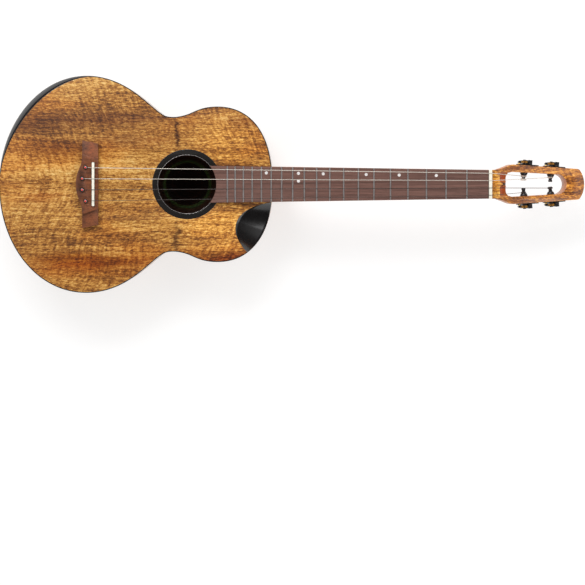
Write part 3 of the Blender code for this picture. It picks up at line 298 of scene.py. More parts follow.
def plainWood(name, light, dark, alongScale, acrossScale, poreDepth, roughness, coat=0, pores=0.4,
              darkPore=0.35, patches=()):
    # straight-grained wood with its grain along X
    wood = Finish(name)
    x, y, z = wood.place()
    drift = wood.noise(x * 8, y * 20, z * 20, 2) - 0.5
    across = y + drift * 0.004
    deep = z + drift * 0.004
    grain = wood.noise(x * alongScale, across * acrossScale, deep * acrossScale, 5, 0.65)
    fine = wood.noise(x * alongScale * 9, across * acrossScale * 5, deep * acrossScale * 5, 3, 0.7)
    base = wood.ramp(grain * 0.65 + fine * 0.35, [(0.34, dark), (0.66, light)])
    pore = wood.noise(x * 180, across * 1900, deep * 1900, 2, 0.6).between(0.62, 0.72)
    shade = tuple(c * darkPore for c in dark[:3]) + (1,)
    for patch in patches:
        base = wood.patched(base, x + drift * 0.006, y + drift * 0.006, patch)
    base = wood.mix(pore * pores, base, shade)
    return wood.wear(baseColor=base, roughness=roughness + 0.12 * fine, coat=coat, coatRoughness=0.15,
                     specular=0.4, normal=wood.bump(fine * 0.5 - pore, poreDepth, 0.5))


def blackGloss(name, colour, roughness, coat=1, grain=0.25):
    black = Finish(name)
    streak = black.speckle(30, 240, 240, 3, 0.6)
    dust = black.speckle(900, 900, 900, 2)
    base = black.tint(colour, streak, 1 - grain, 1 + grain)
    return black.wear(baseColor=base, roughness=roughness + 0.06 * streak + 0.04 * dust, coat=coat,
                      coatRoughness=0.04, specular=0.5, normal=black.bump(streak, 0.00001, 0.2))


def metal(name, colour, roughness, metallic=1):
    shiny = Finish(name)
    cloud = shiny.speckle(260, 260, 260, 3, 0.6)
    scratches = shiny.speckle(3000, 500, 3000, 2, 0.7)
    base = shiny.tint(colour, cloud, 0.75, 1.125)
    return shiny.wear(baseColor=base, metallic=metallic, roughness=roughness + 0.12 * cloud,
                      normal=shiny.bump(scratches, 0.000006, 0.3))


def boneWhite(name, colour):
    bone = Finish(name)
    line = bone.speckle(300, 40, 700, 3, 0.6)
    speck = bone.speckle(1500, 700, 1500, 2)
    base = bone.tint(colour, line, 0.90, 1.04)
    return bone.wear(baseColor=base, roughness=0.25 + 0.1 * speck, coat=0.3, coatRoughness=0.1,
                     normal=bone.bump(speck, 0.00001, 0.2))


def woundWire(name, core, wire):
    # the windings are in the mesh; this adds the polish along them
    wound = Finish(name)
    polish = wound.speckle(120, 2000, 2000, 2)
    return wound.wear(baseColor=wound.mix(polish, core, wire), metallic=0.35, coat=0.3, coatRoughness=0.1,
                      roughness=0.28 + 0.12 * polish)


def clearString(name, colour):
    clear = Finish(name)
    cloud = clear.speckle(60, 900, 900, 2)
    base = clear.tint(colour, cloud, 0.8, 1.15)
    return clear.wear(baseColor=base, roughness=0.22 + 0.1 * cloud, coat=0.4, coatRoughness=0.08)


def pearl(name):
    shell = Finish(name)
    sheen = shell.speckle(700, 700, 700, 3, 0.6, 1.2)
    base = shell.ramp(sheen, [(0.3, srgb(226, 232, 236)), (0.5, srgb(250, 246, 240)),
                              (0.7, srgb(238, 226, 236))])
    return shell.wear(baseColor=base, roughness=0.18 + 0.08 * sheen, coat=0.6, coatRoughness=0.05)


print("materials")
umber = srgb(150, 100, 66)
ember = (0.84, 0.56, 0.22, 1)
soot = srgb(110, 84, 66)
amber = (1.42, 1.36, 1.15, 1)
dusk = (0.5, 0.45, 0.45, 1)
redBrown = (0.75, 0.32, 0.08, 1)
koaTop = figuredWood("koa top", [
    (-0.265, -0.100, 0.100, 0.012, 0.95, (0.60, 0.36, 0.10, 1)), (-0.265, -0.112, 0.120, 0.016, 0.5, ember),
    (-0.328, -0.016, 0.024, 0.009, 0.7, (0.72, 0.46, 0.26, 1)), (-0.250, 0.085, 0.110, 0.010, 0.6, umber),
    (-0.200, 0.058, 0.060, 0.007, 0.5, umber), (-0.150, 0.066, 0.0028, 0.024, 0.9, soot),
    (-0.150, -0.070, 0.0032, 0.018, 0.85, soot), (-0.330, 0.075, 0.050, 0.010, 0.5, umber),
    (-0.075, -0.098, 0.045, 0.008, 0.8, srgb(190, 120, 60)), (-0.300, 0.045, 0.060, 0.012, 0.45, umber),
    (-0.080, 0.050, 0.050, 0.040, 0.7, amber), (-0.095, -0.055, 0.050, 0.028, 0.9, amber),
    (-0.060, 0.082, 0.030, 0.010, 0.5, umber)])
koaBack = figuredWood("koa back", [
    (-0.20, 0.085, 0.16, 0.020, 0.5, umber), (-0.28, 0.020, 0.05, 0.020, 0.5, umber)],
    mirror=False, shift=7.3, coat=0.6, greyAbove=0.01)
koaHead = figuredWood("koa head", [
    (0.266, 0.0, 0.006, 0.030, 0.9, (1.30, 1.50, 1.20, 1)), (0.283, 0.012, 0.004, 0.003, 0.7, umber),
    (0.312, 0.0225, 0.006, 0.0016, 0.9, soot), (0.345, 0.0, 0.05, 0.03, 0.9, (1.22, 1.18, 0.95, 1)),
    (0.366, -0.010, 0.012, 0.0022, 0.75, soot), (0.352, -0.018, 0.012, 0.0018, 0.6, soot),
    (0.300, 0.021, 0.02, 0.003, 0.5, umber), (0.30, -0.023, 0.02, 0.003, 0.6, umber)],
    mirror=False, shift=3.1, coat=0.6, tint=(1.10, 0.90, 0.64, 1))
koaSide = sideWood("koa side")
mahogany = plainWood("mahogany neck", srgb(222, 142, 62), srgb(174, 92, 34), 9.0, 260.0, 0.00004, 0.38, 0.35,
                     patches=[(0.2735, 0.0085, 0.006, 0.007, 0.9, redBrown),
                              (0.2735, -0.0085, 0.006, 0.007, 0.9, redBrown),
                              (0.350, 0.0, 0.008, 0.012, 0.7, (0.50, 0.45, 0.75, 1))])
innerSpruce = plainWood("raw spruce", srgb(222, 190, 140), srgb(196, 156, 104), 3.0, 700.0, 0.00003, 0.7)
rosewood = plainWood("rosewood board", srgb(136, 98, 86), srgb(74, 48, 42), 7.0, 420.0, 0.00006, 0.5, 0.0,
                     0.55, 0.5)
# of the bridge's patches, the two at -0.2600 that lighten the wood are painted highlight at the step of the
# wings
bridgeWood = plainWood("rosewood bridge", srgb(150, 86, 50), srgb(64, 34, 20), 60.0, 160.0, 0.00006, 0.42,
                       0.15, 0.5, 0.45, [(-0.2745, 0.0, 0.006, 0.030, 0.85, (0.42, 0.40, 0.40, 1)),
                                         (-0.2725, 0.048, 0.004, 0.012, 0.7, dusk),
                                         (-0.2600, 0.050, 0.004, 0.012, 0.8, (1.35, 1.15, 1.0, 1)),
                                         (-0.2600, -0.043, 0.006, 0.006, 0.8, (1.30, 1.25, 1.2, 1)),
                                         (-0.2715, -0.050, 0.004, 0.008, 0.6, dusk)])
ebonyGloss = blackGloss("polished ebony", (0.007, 0.006, 0.006, 1), 0.12, 0.15)
trimBlack = blackGloss("black trim", (0.012, 0.010, 0.009, 1), 0.2, 0.6)
buttonBlack = blackGloss("black button", (0.014, 0.012, 0.012, 1), 0.16, 0.8)
ivory = boneWhite("bone", srgb(250, 246, 230))
blackNickel = metal("black nickel", (0.045, 0.042, 0.045, 1), 0.26, 0.85)
gearBrass = metal("gear brass", srgb(196, 152, 84), 0.24)
gold = metal("gold screw", srgb(238, 200, 120), 0.2)
fretMetal = metal("fret wire", srgb(176, 170, 168), 0.26)
rodSteel = metal("rod steel", srgb(150, 150, 154), 0.35)
bassWire = woundWire("wound string", srgb(196, 186, 174), srgb(246, 240, 228))
trebleLine = clearString("plain string", srgb(52, 42, 38))
# this white serves the fret dots' pearl and also the pins' painted glints
pearlAndGlintWhite = pearl("pearl dot")
redDot = blackGloss("red dot", srgb(226, 70, 60), 0.22, 0.6, 0.1)


# Mesh helpers

def newObject(name, mesh):
    piece = bpy.data.objects.new(name, mesh)
    bpy.context.scene.collection.objects.link(piece)
    return piece


def gridMesh(name, rows, closedAcross=False, closedAlong=False, capEnds=False, capSides=False):
    # rows of equally many points, joined into quads
    mesh = bpy.data.meshes.new(name)
    rows = [[tuple(float(c) for c in point) for point in row] for row in rows]
    across, along = len(rows[0]), len(rows)
    faces = []
    for i in range(along if closedAlong else along - 1):
        k = (i + 1) % along
        for j in range(across if closedAcross else across - 1):
            n = (j + 1) % across
            faces.append((i * across + j, i * across + n, k * across + n, k * across + j))
    if capEnds:
        faces.append(tuple(reversed(range(across))))
        faces.append(tuple((along - 1) * across + j for j in range(across)))
    if capSides:
        faces += [tuple(i * across + j for i in range(along)) for j in (0, across - 1)]
    mesh.from_pydata([point for row in rows for point in row], [], faces)
    tidyMesh(mesh)
    return mesh


def tidyMesh(mesh, distance=1e-7):
    work = bmesh.new()
    work.from_mesh(mesh)
    bmesh.ops.remove_doubles(work, verts=work.verts, dist=distance)
    bmesh.ops.recalc_face_normals(work, faces=work.faces)
    if work.calc_volume(signed=True) < 0:
        bmesh.ops.reverse_faces(work, faces=work.faces)
    work.to_mesh(mesh)
    work.free()


def applied(piece):
    # the piece as one plain mesh, with its modifiers in it
    graph = bpy.context.evaluated_depsgraph_get()
    graph.update()
    mesh = bpy.data.meshes.new_from_object(piece.evaluated_get(graph))
    piece.modifiers.clear()
    if piece.type == "MESH":
        piece.data = mesh
        return piece
    name = piece.name
    bpy.data.objects.remove(piece)
    mesh.name = name
    return newObject(name, mesh)


def plate(name, loops, low, high, rounding, matrix=None):
    # a flat piece with softly rounded edges, from its outline and its holes
    curve = bpy.data.curves.new(name, "CURVE")
    curve.dimensions = "2D"
    curve.fill_mode = "BOTH"
    curve.extrude = (high - low) / 2 - rounding
    curve.bevel_depth = rounding
    curve.bevel_resolution = 2
    curve.offset = -rounding
    for loop in loops:
        spline = curve.splines.new("POLY")
        spline.points.add(len(loop) - 1)
        spline.use_cyclic_u = True
        for point, (x, y) in zip(spline.points, loop):
            point.co = (x, y, 0, 1)
    piece = applied(newObject(name, curve))
    tidyMesh(piece.data, 1e-6)
    place = Matrix.Translation((0, 0, (low + high) / 2))
    piece.data.transform(place if matrix is None else matrix @ place)
    return soften(piece)


def turnedPiece(name, profile, matrix, steps=32):
    # a round piece about its own Z, from (radius, height) points
    rows = []
    for i in range(steps):
        angle = 2 * math.pi * i / steps
        rows.append([matrix @ Vector((r * math.cos(angle), r * math.sin(angle), z)) for r, z in profile])
    return soften(newObject(name, gridMesh(name, rows, closedAlong=True)), 35)


def sweptPiece(name, rows, angle):
    # a closed section carried along a path, with capped ends
    return soften(newObject(name, gridMesh(name, rows, closedAcross=True, capEnds=True)), angle)


def softProfile(points, radius):
    # rounds the corners of a (radius, height) profile
    result = [points[0]]
    for before, here, after in zip(points, points[1:], points[2:]):
        here, before, after = np.array(here), np.array(before), np.array(after)
        room = min(radius, np.linalg.norm(before - here) * 0.45, np.linalg.norm(after - here) * 0.45)
        start = here + (before - here) / max(np.linalg.norm(before - here), 1e-9) * room
        end = here + (after - here) / max(np.linalg.norm(after - here), 1e-9) * room
        for t in (0.0, 0.33, 0.67, 1.0):
            result.append(tuple(start * (1 - t) ** 2 + here * 2 * t * (1 - t) + end * t ** 2))
    result.append(points[-1])
    return result


def soften(piece, angle=32):
    piece.data.shade_smooth()
    piece.data.set_sharp_from_angle(angle=math.radians(angle))
    return piece


def edgeRounded(piece, width, segments, angle):
    bevel = piece.modifiers.new("edges", "BEVEL")
    bevel.width = width
    bevel.segments = segments
    bevel.limit_method = "ANGLE"
    bevel.angle_limit = math.radians(angle)
    return applied(piece)


def refined(name, node, bevelWidth, material, slotName, body="root", segments=2, angle=35, dissolve=True):
    # the node's own shape, merged, with its edges rounded
    mesh = nodes[node].data.copy()
    mesh.name = name
    work = bmesh.new()
    work.from_mesh(mesh)
    for layer in list(work.loops.layers.uv):
        work.loops.layers.uv.remove(layer)
    bmesh.ops.remove_doubles(work, verts=work.verts, dist=2e-6)
    if dissolve:
        bmesh.ops.dissolve_limit(work, angle_limit=math.radians(0.4), verts=work.verts, edges=work.edges)
    work.to_mesh(mesh)
    work.free()
    if "custom_normal" in mesh.attributes:
        mesh.attributes.remove(mesh.attributes["custom_normal"])
    piece = newObject(name, mesh)
    if bevelWidth:
        piece = edgeRounded(piece, bevelWidth, segments, angle)
    soften(piece, 32)
    return dress(piece, material, slotName, body, node)


def dress(piece, material, slotName, body="root", *replaced):
    piece.data.materials.clear()
    piece.data.materials.append(material)
    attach(piece, body)
    if replaced:
        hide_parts(*replaced)
    return piece


def circle(centreX, radius, count=96):
    angles = [2 * math.pi * i / count for i in range(count)]
    return [(centreX + radius * math.cos(angle), radius * math.sin(angle)) for angle in angles]


def bezier(start, startHandle, endHandle, end, steps):
    t = np.linspace(0, 1, steps + 1)[:, None]
    a, b, c, d = (np.asarray(p, float) for p in (start, startHandle, endHandle, end))
    return (1 - t) ** 3 * a + 3 * (1 - t) ** 2 * t * b + 3 * (1 - t) * t ** 2 * c + t ** 3 * d


# Geometry Nodes

class Tree:
    # a Geometry Nodes tree whose named inputs become the modifier's settings
    def __init__(self, name, sizes):
        self.tree = bpy.data.node_groups.new(name, "GeometryNodeTree")
        self.tree.interface.new_socket("Geometry", in_out="INPUT", socket_type="NodeSocketGeometry")
        self.ids = {}
        for key, value in sizes.items():
            socket = self.tree.interface.new_socket(key, in_out="INPUT", socket_type="NodeSocketFloat")
            socket.default_value = value
            self.ids[key] = socket.identifier
        self.tree.interface.new_socket("Geometry", in_out="OUTPUT", socket_type="NodeSocketGeometry")
        self.start = self.tree.nodes.new("NodeGroupInput")
        self.end = self.tree.nodes.new("NodeGroupOutput")
        self.sizes = sizes

    def size(self, key):
        return self.start.outputs[key]

    def make(self, kind, settings, inputs):
        return makeNode(self.tree, kind, settings, inputs)

    def finish(self, geometry, material):
        real = self.make("GeometryNodeRealizeInstances", {}, {0: geometry})
        painted = self.make("GeometryNodeSetMaterial", {},
                            {"Geometry": real.outputs[0], "Material": material})
        self.tree.links.new(painted.outputs[0], self.end.inputs[0])

    def grow(self, piece, **values):
        modifier = piece.modifiers.new(self.tree.name, "NODES")
        modifier.node_group = self.tree
        for key, value in {**self.sizes, **values}.items():
            modifier[self.ids[key]] = float(value)
        return applied(piece)


def pointCloud(name, points, attributes=None):
    mesh = bpy.data.meshes.new(name)
    mesh.from_pydata([tuple(p) for p in points], [], [])
    for key, values in (attributes or {}).items():
        layer = mesh.attributes.new(key, "FLOAT_VECTOR", "POINT")
        layer.data.foreach_set("vector", np.asarray(values, float).ravel())
    return newObject(name, mesh)


# Body outline, taken from the back plate

body = {
    "bindingWidth": 0.0012,
    "sideThickness": 0.0020,
    "armrestFrom": 0.012,
    "armrestTo": 0.205,
    "armrestWidth": 0.0093,
    "bevelSlope": 1.15,
    "scoopFromNeck": 0.0240,
    "scoopToNeck": 0.0985,
    "scoopDepth": 0.024,
    "scoopNeckHandle": (-0.034, -0.004),
    "scoopWaistHandle": (-0.034, 0.038),
    "armrestRows": 90,
    "scoopRows": 60,
    "skin": 0.003,
    "outlineStep": 0.0022,
}

backLow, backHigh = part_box("back")
topLow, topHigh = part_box("soundboard")
tailX, jointX = backLow.x, backHigh.x
topZ = topHigh.z
topInnerZ = topLow.z


def halfEdge():
    # the bass half of the outline, from tail to neck, curved through the back's corner points
    corners = {(round(v.co.x, 6), round(v.co.y, 6)) for v in nodes["back"].data.vertices if v.co.y > -1e-6}
    middleX = tailX + (jointX - tailX) * 0.62
    rim = np.array(sorted(corners, key=lambda p: -math.atan2(p[1], p[0] - middleX)))
    rim = np.vstack([rim[1] * (1, -1), rim, rim[-2] * (1, -1)])
    line = []
    for a, b, c, d in zip(rim, rim[1:], rim[2:], rim[3:]):
        for t in np.linspace(0, 1, 7)[:-1]:
            line.append(0.5 * ((2 * b) + (c - a) * t + (2 * a - 5 * b + 4 * c - d) * t ** 2
                               + (3 * b - a - 3 * c + d) * t ** 3))
    line.append(rim[-2])
    return np.array(line)


edge = halfEdge()
edgeLengths = np.concatenate([[0], np.cumsum(np.linalg.norm(np.diff(edge, axis=0), axis=1))])
edgeLength = edgeLengths[-1]


def edgeAt(along, inset=0.0):
    # a point of the edge, counted from the tail, positive on the bass side
    place = min(abs(along), edgeLength)
    near, far = max(place - 0.004, 0), min(place + 0.004, edgeLength)
    centre, behind, ahead = [np.array([np.interp(s, edgeLengths, edge[:, i]) for i in (0, 1)])
                             for s in (place, near, far)]
    if place < 0.004:
        behind = ahead * (1, -1)
    if place > edgeLength - 0.004:
        ahead = behind * (1, -1)
    tangent = (ahead - behind) / np.linalg.norm(ahead - behind)
    point = centre + np.array([tangent[1], -tangent[0]]) * inset
    return np.array([point[0], math.copysign(1, along) * point[1] if along else 0.0])


def steps(start, end, step):
    return np.linspace(start, end, max(2, int(abs(end - start) / step) + 1))


def armrestShape(t):
    swell = max(math.sin(math.pi * (1 - t) ** 0.85), 0) ** 1.25
    width = body["bindingWidth"] + (body["armrestWidth"] - body["bindingWidth"]) * swell
    return width, width * body["bevelSlope"]


def armrestRow(t):
    along = body["armrestFrom"] + (body["armrestTo"] - body["armrestFrom"]) * t
    width, drop = armrestShape(t)
    return edgeAt(along, width), edgeAt(along), drop


scoopStart = edgeLength - body["scoopFromNeck"]
scoopEnd = edgeLength - body["scoopToNeck"]
scoopFirst = edgeAt(-scoopStart, body["bindingWidth"])
scoopLast = edgeAt(-scoopEnd, body["bindingWidth"])
scoopCurve = bezier(scoopFirst, scoopFirst + body["scoopNeckHandle"], scoopLast + body["scoopWaistHandle"],
                    scoopLast, body["scoopRows"])


def scoopDrop(t):
    return body["bindingWidth"] + body["scoopDepth"] * math.sin(math.pi * t) ** 0.8


def scoopRow(t):
    inner = scoopCurve[int(round(t * body["scoopRows"]))]
    outer = edgeAt(-(scoopStart + (scoopEnd - scoopStart) * t))
    return inner, outer, scoopDrop(t)


def sideTop(along):
    # height of the wood of the side, lower where a bevel takes its edge
    if body["armrestFrom"] < along < body["armrestTo"]:
        t = (along - body["armrestFrom"]) / (body["armrestTo"] - body["armrestFrom"])
        return min(topInnerZ - gap, topZ - armrestShape(t)[1] - body["skin"] - gap)
    if -scoopStart < along < -scoopEnd:
        t = (-along - scoopStart) / (scoopEnd - scoopStart)
        return min(topInnerZ - gap, topZ - scoopDrop(t) - body["skin"] - gap)
    return topInnerZ - gap


def topOutline(inset):
    # soundboard outline inside the bindings, following the bevels' inner edges
    points = [edgeAt(s, inset) for s in steps(-scoopEnd, 0, body["outlineStep"])[:-1]]
    for s in steps(0, edgeLength, body["outlineStep"]):
        extra = 0.0
        if body["armrestFrom"] < s < body["armrestTo"]:
            t = (s - body["armrestFrom"]) / (body["armrestTo"] - body["armrestFrom"])
            extra = armrestShape(t)[0] - body["bindingWidth"]
        points.append(edgeAt(s, inset + extra))
    points += [edgeAt(s, inset) for s in steps(-edgeLength, -scoopStart, body["outlineStep"])[1:-1]]
    tangent = np.gradient(scoopCurve, axis=0)
    away = np.stack([tangent[:, 1], -tangent[:, 0]], axis=1) / np.linalg.norm(tangent, axis=1)[:, None]
    half = body["scoopRows"] // 2
    if away[half] @ (scoopCurve[half] - scoopRow(0.5)[1]) < 0:
        away = -away
    points += list(scoopCurve + away * (inset - body["bindingWidth"]))
    return points


# Soundboard, back, sides and edging

print("body")
hole = {"rosetteWidth": 0.0075, "rosetteDepth": 0.0010, "lineWidth": 0.0006}
holeX = (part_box("rosette")[0].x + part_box("rosette")[1].x) / 2
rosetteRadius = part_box("rosette")[1].y
holeRadius = rosetteRadius - hole["rosetteWidth"]
rosetteLow = topZ - hole["rosetteDepth"]
lineRadius = holeRadius + hole["lineWidth"]

soundboard = plate("soundboardFigured", [topOutline(body["bindingWidth"] + 0.00005),
                                         circle(holeX, rosetteRadius + 0.00005)], topInnerZ, topZ, 0.00012)
dress(soundboard, koaTop, "figured_body_wood", "root", "soundboard")

holeLining = plate("soundboardUnderRosette", [circle(holeX, rosetteRadius - 0.0002),
                                              circle(holeX, holeRadius + 0.00015)],
                   topInnerZ, rosetteLow - 0.0001, 0.0001)
dress(holeLining, koaTop, "figured_body_wood")

rosette = plate("rosetteRing", [circle(holeX, rosetteRadius), circle(holeX, lineRadius)],
                rosetteLow, topZ + 0.00012, 0.00025)
dress(rosette, trimBlack, "black_trim", "root", "rosette")
rosetteLine = plate("rosetteInnerLine", [circle(holeX, lineRadius - 0.00003), circle(holeX, holeRadius)],
                    rosetteLow, topZ + 0.0001, 0.00018)
dress(rosetteLine, fretMetal, "black_trim")

# back plate with its outer edge rounded over
backEdge = {"rounding": 0.0016, "steps": 6}
profile = [(backEdge["rounding"] + 0.004, 0.0)]
profile += [(backEdge["rounding"] * (1 - math.sin(a)), backEdge["rounding"] * (1 - math.cos(a)))
            for a in np.linspace(0, math.pi / 2, backEdge["steps"])]
profile += [(0.0, backHigh.z - 0.0002), (0.0002, backHigh.z), (0.006, backHigh.z)]
rows = [[(*edgeAt(s, inset), height) for inset, height in profile]
        for s in steps(-edgeLength, edgeLength, body["outlineStep"])[:-1]]
backMesh = gridMesh("backFigured", rows, closedAlong=True, capSides=True)
dress(soften(newObject("backFigured", backMesh)), koaBack, "figured_body_wood", "root", "back")

sideLow = backHigh.z + gap


def sidePiece(name, start, end, node):
    # one bent side: outer and inner wall, with a small round at each edge
    small = 0.0002
    thick = body["sideThickness"]
    rows = []
    places = steps(start, end, body["outlineStep"] * 0.8)
    for s in places:
        high = sideTop(s)
        line = [(small, sideLow), (0.0, sideLow + small)]
        line += [(0.0, sideLow + small + (high - sideLow - 2 * small) * k / 6) for k in range(1, 7)]
        line += [(small, high), (thick - small, high), (thick, high - small), (thick, sideLow + small),
                 (thick - small, sideLow)]
        rows.append([(*edgeAt(s, inset), z) for inset, z in line])
    piece = sweptPiece(name, rows, 40)
    layer = piece.data.attributes.new("alongSide", "FLOAT_VECTOR", "POINT")
    values = []
    for vert in piece.data.vertices:
        here = np.array([vert.co.x, abs(vert.co.y)])
        nearest = edgeLengths[np.argmin(((edge - here) ** 2).sum(1))]
        values.append((math.copysign(nearest, end), vert.co.z, 0.0))
    layer.data.foreach_set("vector", np.array(values, float).ravel())
    return dress(piece, koaSide, "figured_body_wood", "root", node)


sidePiece("sideBassFigured", gap, edgeLength - gap, "side_bass")
sidePiece("sideTrebleFigured", -gap, gap - edgeLength, "side_treble")


def edging(name, start, end, node):
    # thin black binding along the soundboard's edge
    low, high, small = topInnerZ, topZ, 0.00035
    width = body["bindingWidth"]
    rows = []
    for s in steps(start, end, body["outlineStep"]):
        line = [(0.0, low), (0.0, high - small), (small * 0.3, high - small * 0.3), (small, high),
                (width - 0.0001, high), (width, high - 0.0001), (width, low)]
        rows.append([(*edgeAt(s, inset), z) for inset, z in line])
    return dress(sweptPiece(name, rows, 45), trimBlack, "black_trim", "root", node)


edging("edgingBass", body["armrestTo"] + gap, edgeLength - gap, "binding_bass")
edging("edgingTreble", body["armrestFrom"] - gap, -(scoopEnd - gap), "binding_treble")


def bevelSkin(name, rowAt, count, hollow, crown, node):
    # polished dark skin from its inner edge down to the side
    rows = []
    columns = 12
    for i in range(count + 1):
        inner, outer, drop = rowAt(i / count)
        line = []
        for share in np.linspace(0, 1, columns):
            x, y = inner + (outer - inner) * share
            fall = drop * (share + hollow * share * (1 - share) - crown * share * (1 - share))
            line.append((x, y, topZ - fall))
        under = [(x, y, z - body["skin"]) for x, y, z in reversed(line)]
        rows.append(line + under)
    piece = edgeRounded(sweptPiece(name, rows, 50), 0.0002, 2, 55)
    return dress(soften(piece, 50), ebonyGloss, "ebony", "root", node)


bevelSkin("armrestSkin", armrestRow, body["armrestRows"], 0.0, 0.6, "armrest")
bevelSkin("cutawaySkin", scoopRow, body["scoopRows"], 0.12, 0.0, "cutaway_scoop")

# round paper label on the back's inner face, with plain rings as print; its dark brown ground, wide enough
# to fill the whole view through the hole, is painted shade of the body's inside
label = {"radius": 0.042, "thickness": 0.00015, "setBack": 0.0045, "greenRing": 0.0305, "brownRing": 0.0200,
         "darkWithin": 0.0285}
labelX = holeX - label["setBack"]
labelAndShadePiece = plate("insideLabel", [circle(labelX, label["radius"])], backHigh.z,
                   backHigh.z + label["thickness"], 0.00004)
paper = Finish("label paper")
x, y, z = paper.place()
reach = ((x - labelX) ** 2.0 + y * y) ** 0.5
fibre = paper.speckle(900.0, 900.0, 0.0, 3.0)
# the dark brown ground of the label is painted shade of the body's inside; the rings are print
printAndShade = paper.tint(srgb(70, 38, 26), fibre, 0.8, 1.15)
printAndShade = paper.mix(reach.hump(label["greenRing"], 0.0024), printAndShade, srgb(84, 122, 62))
printAndShade = paper.mix(reach.hump(label["brownRing"], 0.0010) * 0.8, printAndShade, srgb(120, 60, 40))
darkMiddle = reach.between(label["darkWithin"], label["darkWithin"] - 0.0005)
printAndShade = paper.mix(darkMiddle * 0.8, printAndShade, srgb(26, 16, 12))
paper.wear(baseColor=printAndShade, roughness=0.7 + 0.1 * fibre, normal=paper.bump(fibre, 0.00002, 0.3))
dress(labelAndShadePiece, paper.material, "black_trim")

# the woodwork and the rod inside keep the shape they have
insidePieces = {name: innerSpruce for name in (
    "neck_block", "tail_block", "lining_top", "lining_back", "top_brace_upper", "top_brace_lower",
    "fan_brace_bass", "fan_brace_treble", "back_brace_lower", "back_brace_upper", "bridge_plate")}
insidePieces["truss_rod"] = rodSteel
for name, material in insidePieces.items():
    nodes[name].data.materials.clear()
    nodes[name].data.materials.append(material)


# Neck, head, fretboard and nut

print("neck")
refined("neckShaped", "neck", 0.0005, mahogany, "neck_wood")
refined("headVeneerFigured", "head_veneer", 0.00045, koaHead, "figured_body_wood")
refined("neckFillerStrip", "neck_filler", 0.0001, trimBlack, "ebony")

# pointed end of the veneer between the two string ramps, and below it a black plate that is painted shade
# for the truss rod's hole
ridge = {"tilt": math.radians(10), "faceZ": 0.0865, "thickness": 0.0015,
         "outline": [(0.0103, 0.0037), (0.0152, 0.0005), (0.0152, -0.0005), (0.0103, -0.0037)],
         "hole": [(0.0143, 0.0008), (0.0147, 0.0011), (0.0178, 0.0011), (0.0182, 0.0008), (0.0182, -0.0008),
                  (0.0178, -0.0011), (0.0147, -0.0011), (0.0143, -0.0008)]}
nutLow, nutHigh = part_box("nut")
headFace = Matrix.Translation((nutHigh.x, 0, ridge["faceZ"])) @ Matrix.Rotation(ridge["tilt"], 4, "Y")
ridgePiece = plate("rampRidgeVeneer", [ridge["outline"]], -ridge["thickness"], 0.0, 0.0002, headFace)
dress(ridgePiece, koaHead, "figured_body_wood")
# a black plate over the truss rod's hole: painted shade for the dark inside of the hole
trussHoleShadePiece = plate("trussRodHole", [ridge["hole"]], -ridge["thickness"] - 0.0003,
                  0.00012 - ridge["thickness"], 0.0001, headFace)
dress(trussHoleShadePiece, trimBlack, None)
refined("nutShaped", "nut", 0, ivory, "bone")
refined("saddleShaped", "saddle", 0, ivory, "bone")
refined("bridgeShaped", "bridge", 0.0005, bridgeWood, "rosewood")

board = {"thickness": 0.005, "fretCount": 19, "scale": 0.510, "fretWidth": 0.0021, "fretHeight": 0.00095,
         "dotRadius": 0.0020}
boardLow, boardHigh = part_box("fretboard")
nutX = nutLow.x
boardTop = boardLow.z + board["thickness"]
nutHalf = nutHigh.y
endHalf = boardHigh.y
taper = (endHalf - nutHalf) / (nutX - boardLow.x)


def boardHalf(x):
    return nutHalf + (nutX - x) * taper


def fretX(number):
    return nutX - board["scale"] * (1 - 2 ** (-number / 12))


# the board's end follows the soundhole
arcSpread = math.asin(min(boardHalf(holeX + holeRadius) / holeRadius, 0.99))
arc = [(holeX + holeRadius * math.cos(a), holeRadius * math.sin(a)) for a in np.linspace(0, arcSpread, 24)]
outline = arc + [(nutX - gap, boardHalf(nutX - gap))]
outline = outline + [(x, -y) for x, y in reversed(outline) if y > 1e-9]
fretboard = plate("fretboardPlate", [outline], boardLow.z, boardTop, 0.0004)
dress(fretboard, rosewood, "rosewood", "root", "fretboard")

frets = Tree("frets", {"Width": board["fretWidth"], "Height": board["fretHeight"]})
shape = frets.make("GeometryNodeMeshCylinder", {}, {"Vertices": 16, "Side Segments": 6, "Radius": 0.5,
                                                    "Depth": 2.0})
laid = frets.make("GeometryNodeTransform", {}, {"Geometry": shape.outputs["Mesh"],
                                                "Rotation": (math.pi / 2, 0.0, 0.0)})
spread = frets.make("GeometryNodeInputNamedAttribute", {"data_type": "FLOAT_VECTOR"}, {"Name": "reach"})
crown = frets.make("ShaderNodeCombineXYZ", {}, {0: frets.size("Width"), 1: 1.0, 2: frets.size("Height")})
sized = frets.make("ShaderNodeVectorMath", {"operation": "MULTIPLY"},
                   {0: spread.outputs["Attribute"], 1: crown.outputs[0]})
setOut = frets.make("GeometryNodeInstanceOnPoints", {}, {"Points": frets.start.outputs["Geometry"],
                                                         "Instance": laid.outputs[0],
                                                         "Scale": sized.outputs[0]})
frets.finish(setOut.outputs[0], fretMetal)
fretPlaces = [fretX(n) for n in range(1, board["fretCount"] + 1)]
fretPoints = [(x, 0, boardTop) for x in fretPlaces]
fretReach = [(1, boardHalf(x) - 0.0004, 2) for x in fretPlaces]
fretSet = frets.grow(pointCloud("fretSet", fretPoints, {"reach": fretReach}))
dress(soften(fretSet, 50), fretMetal, None)

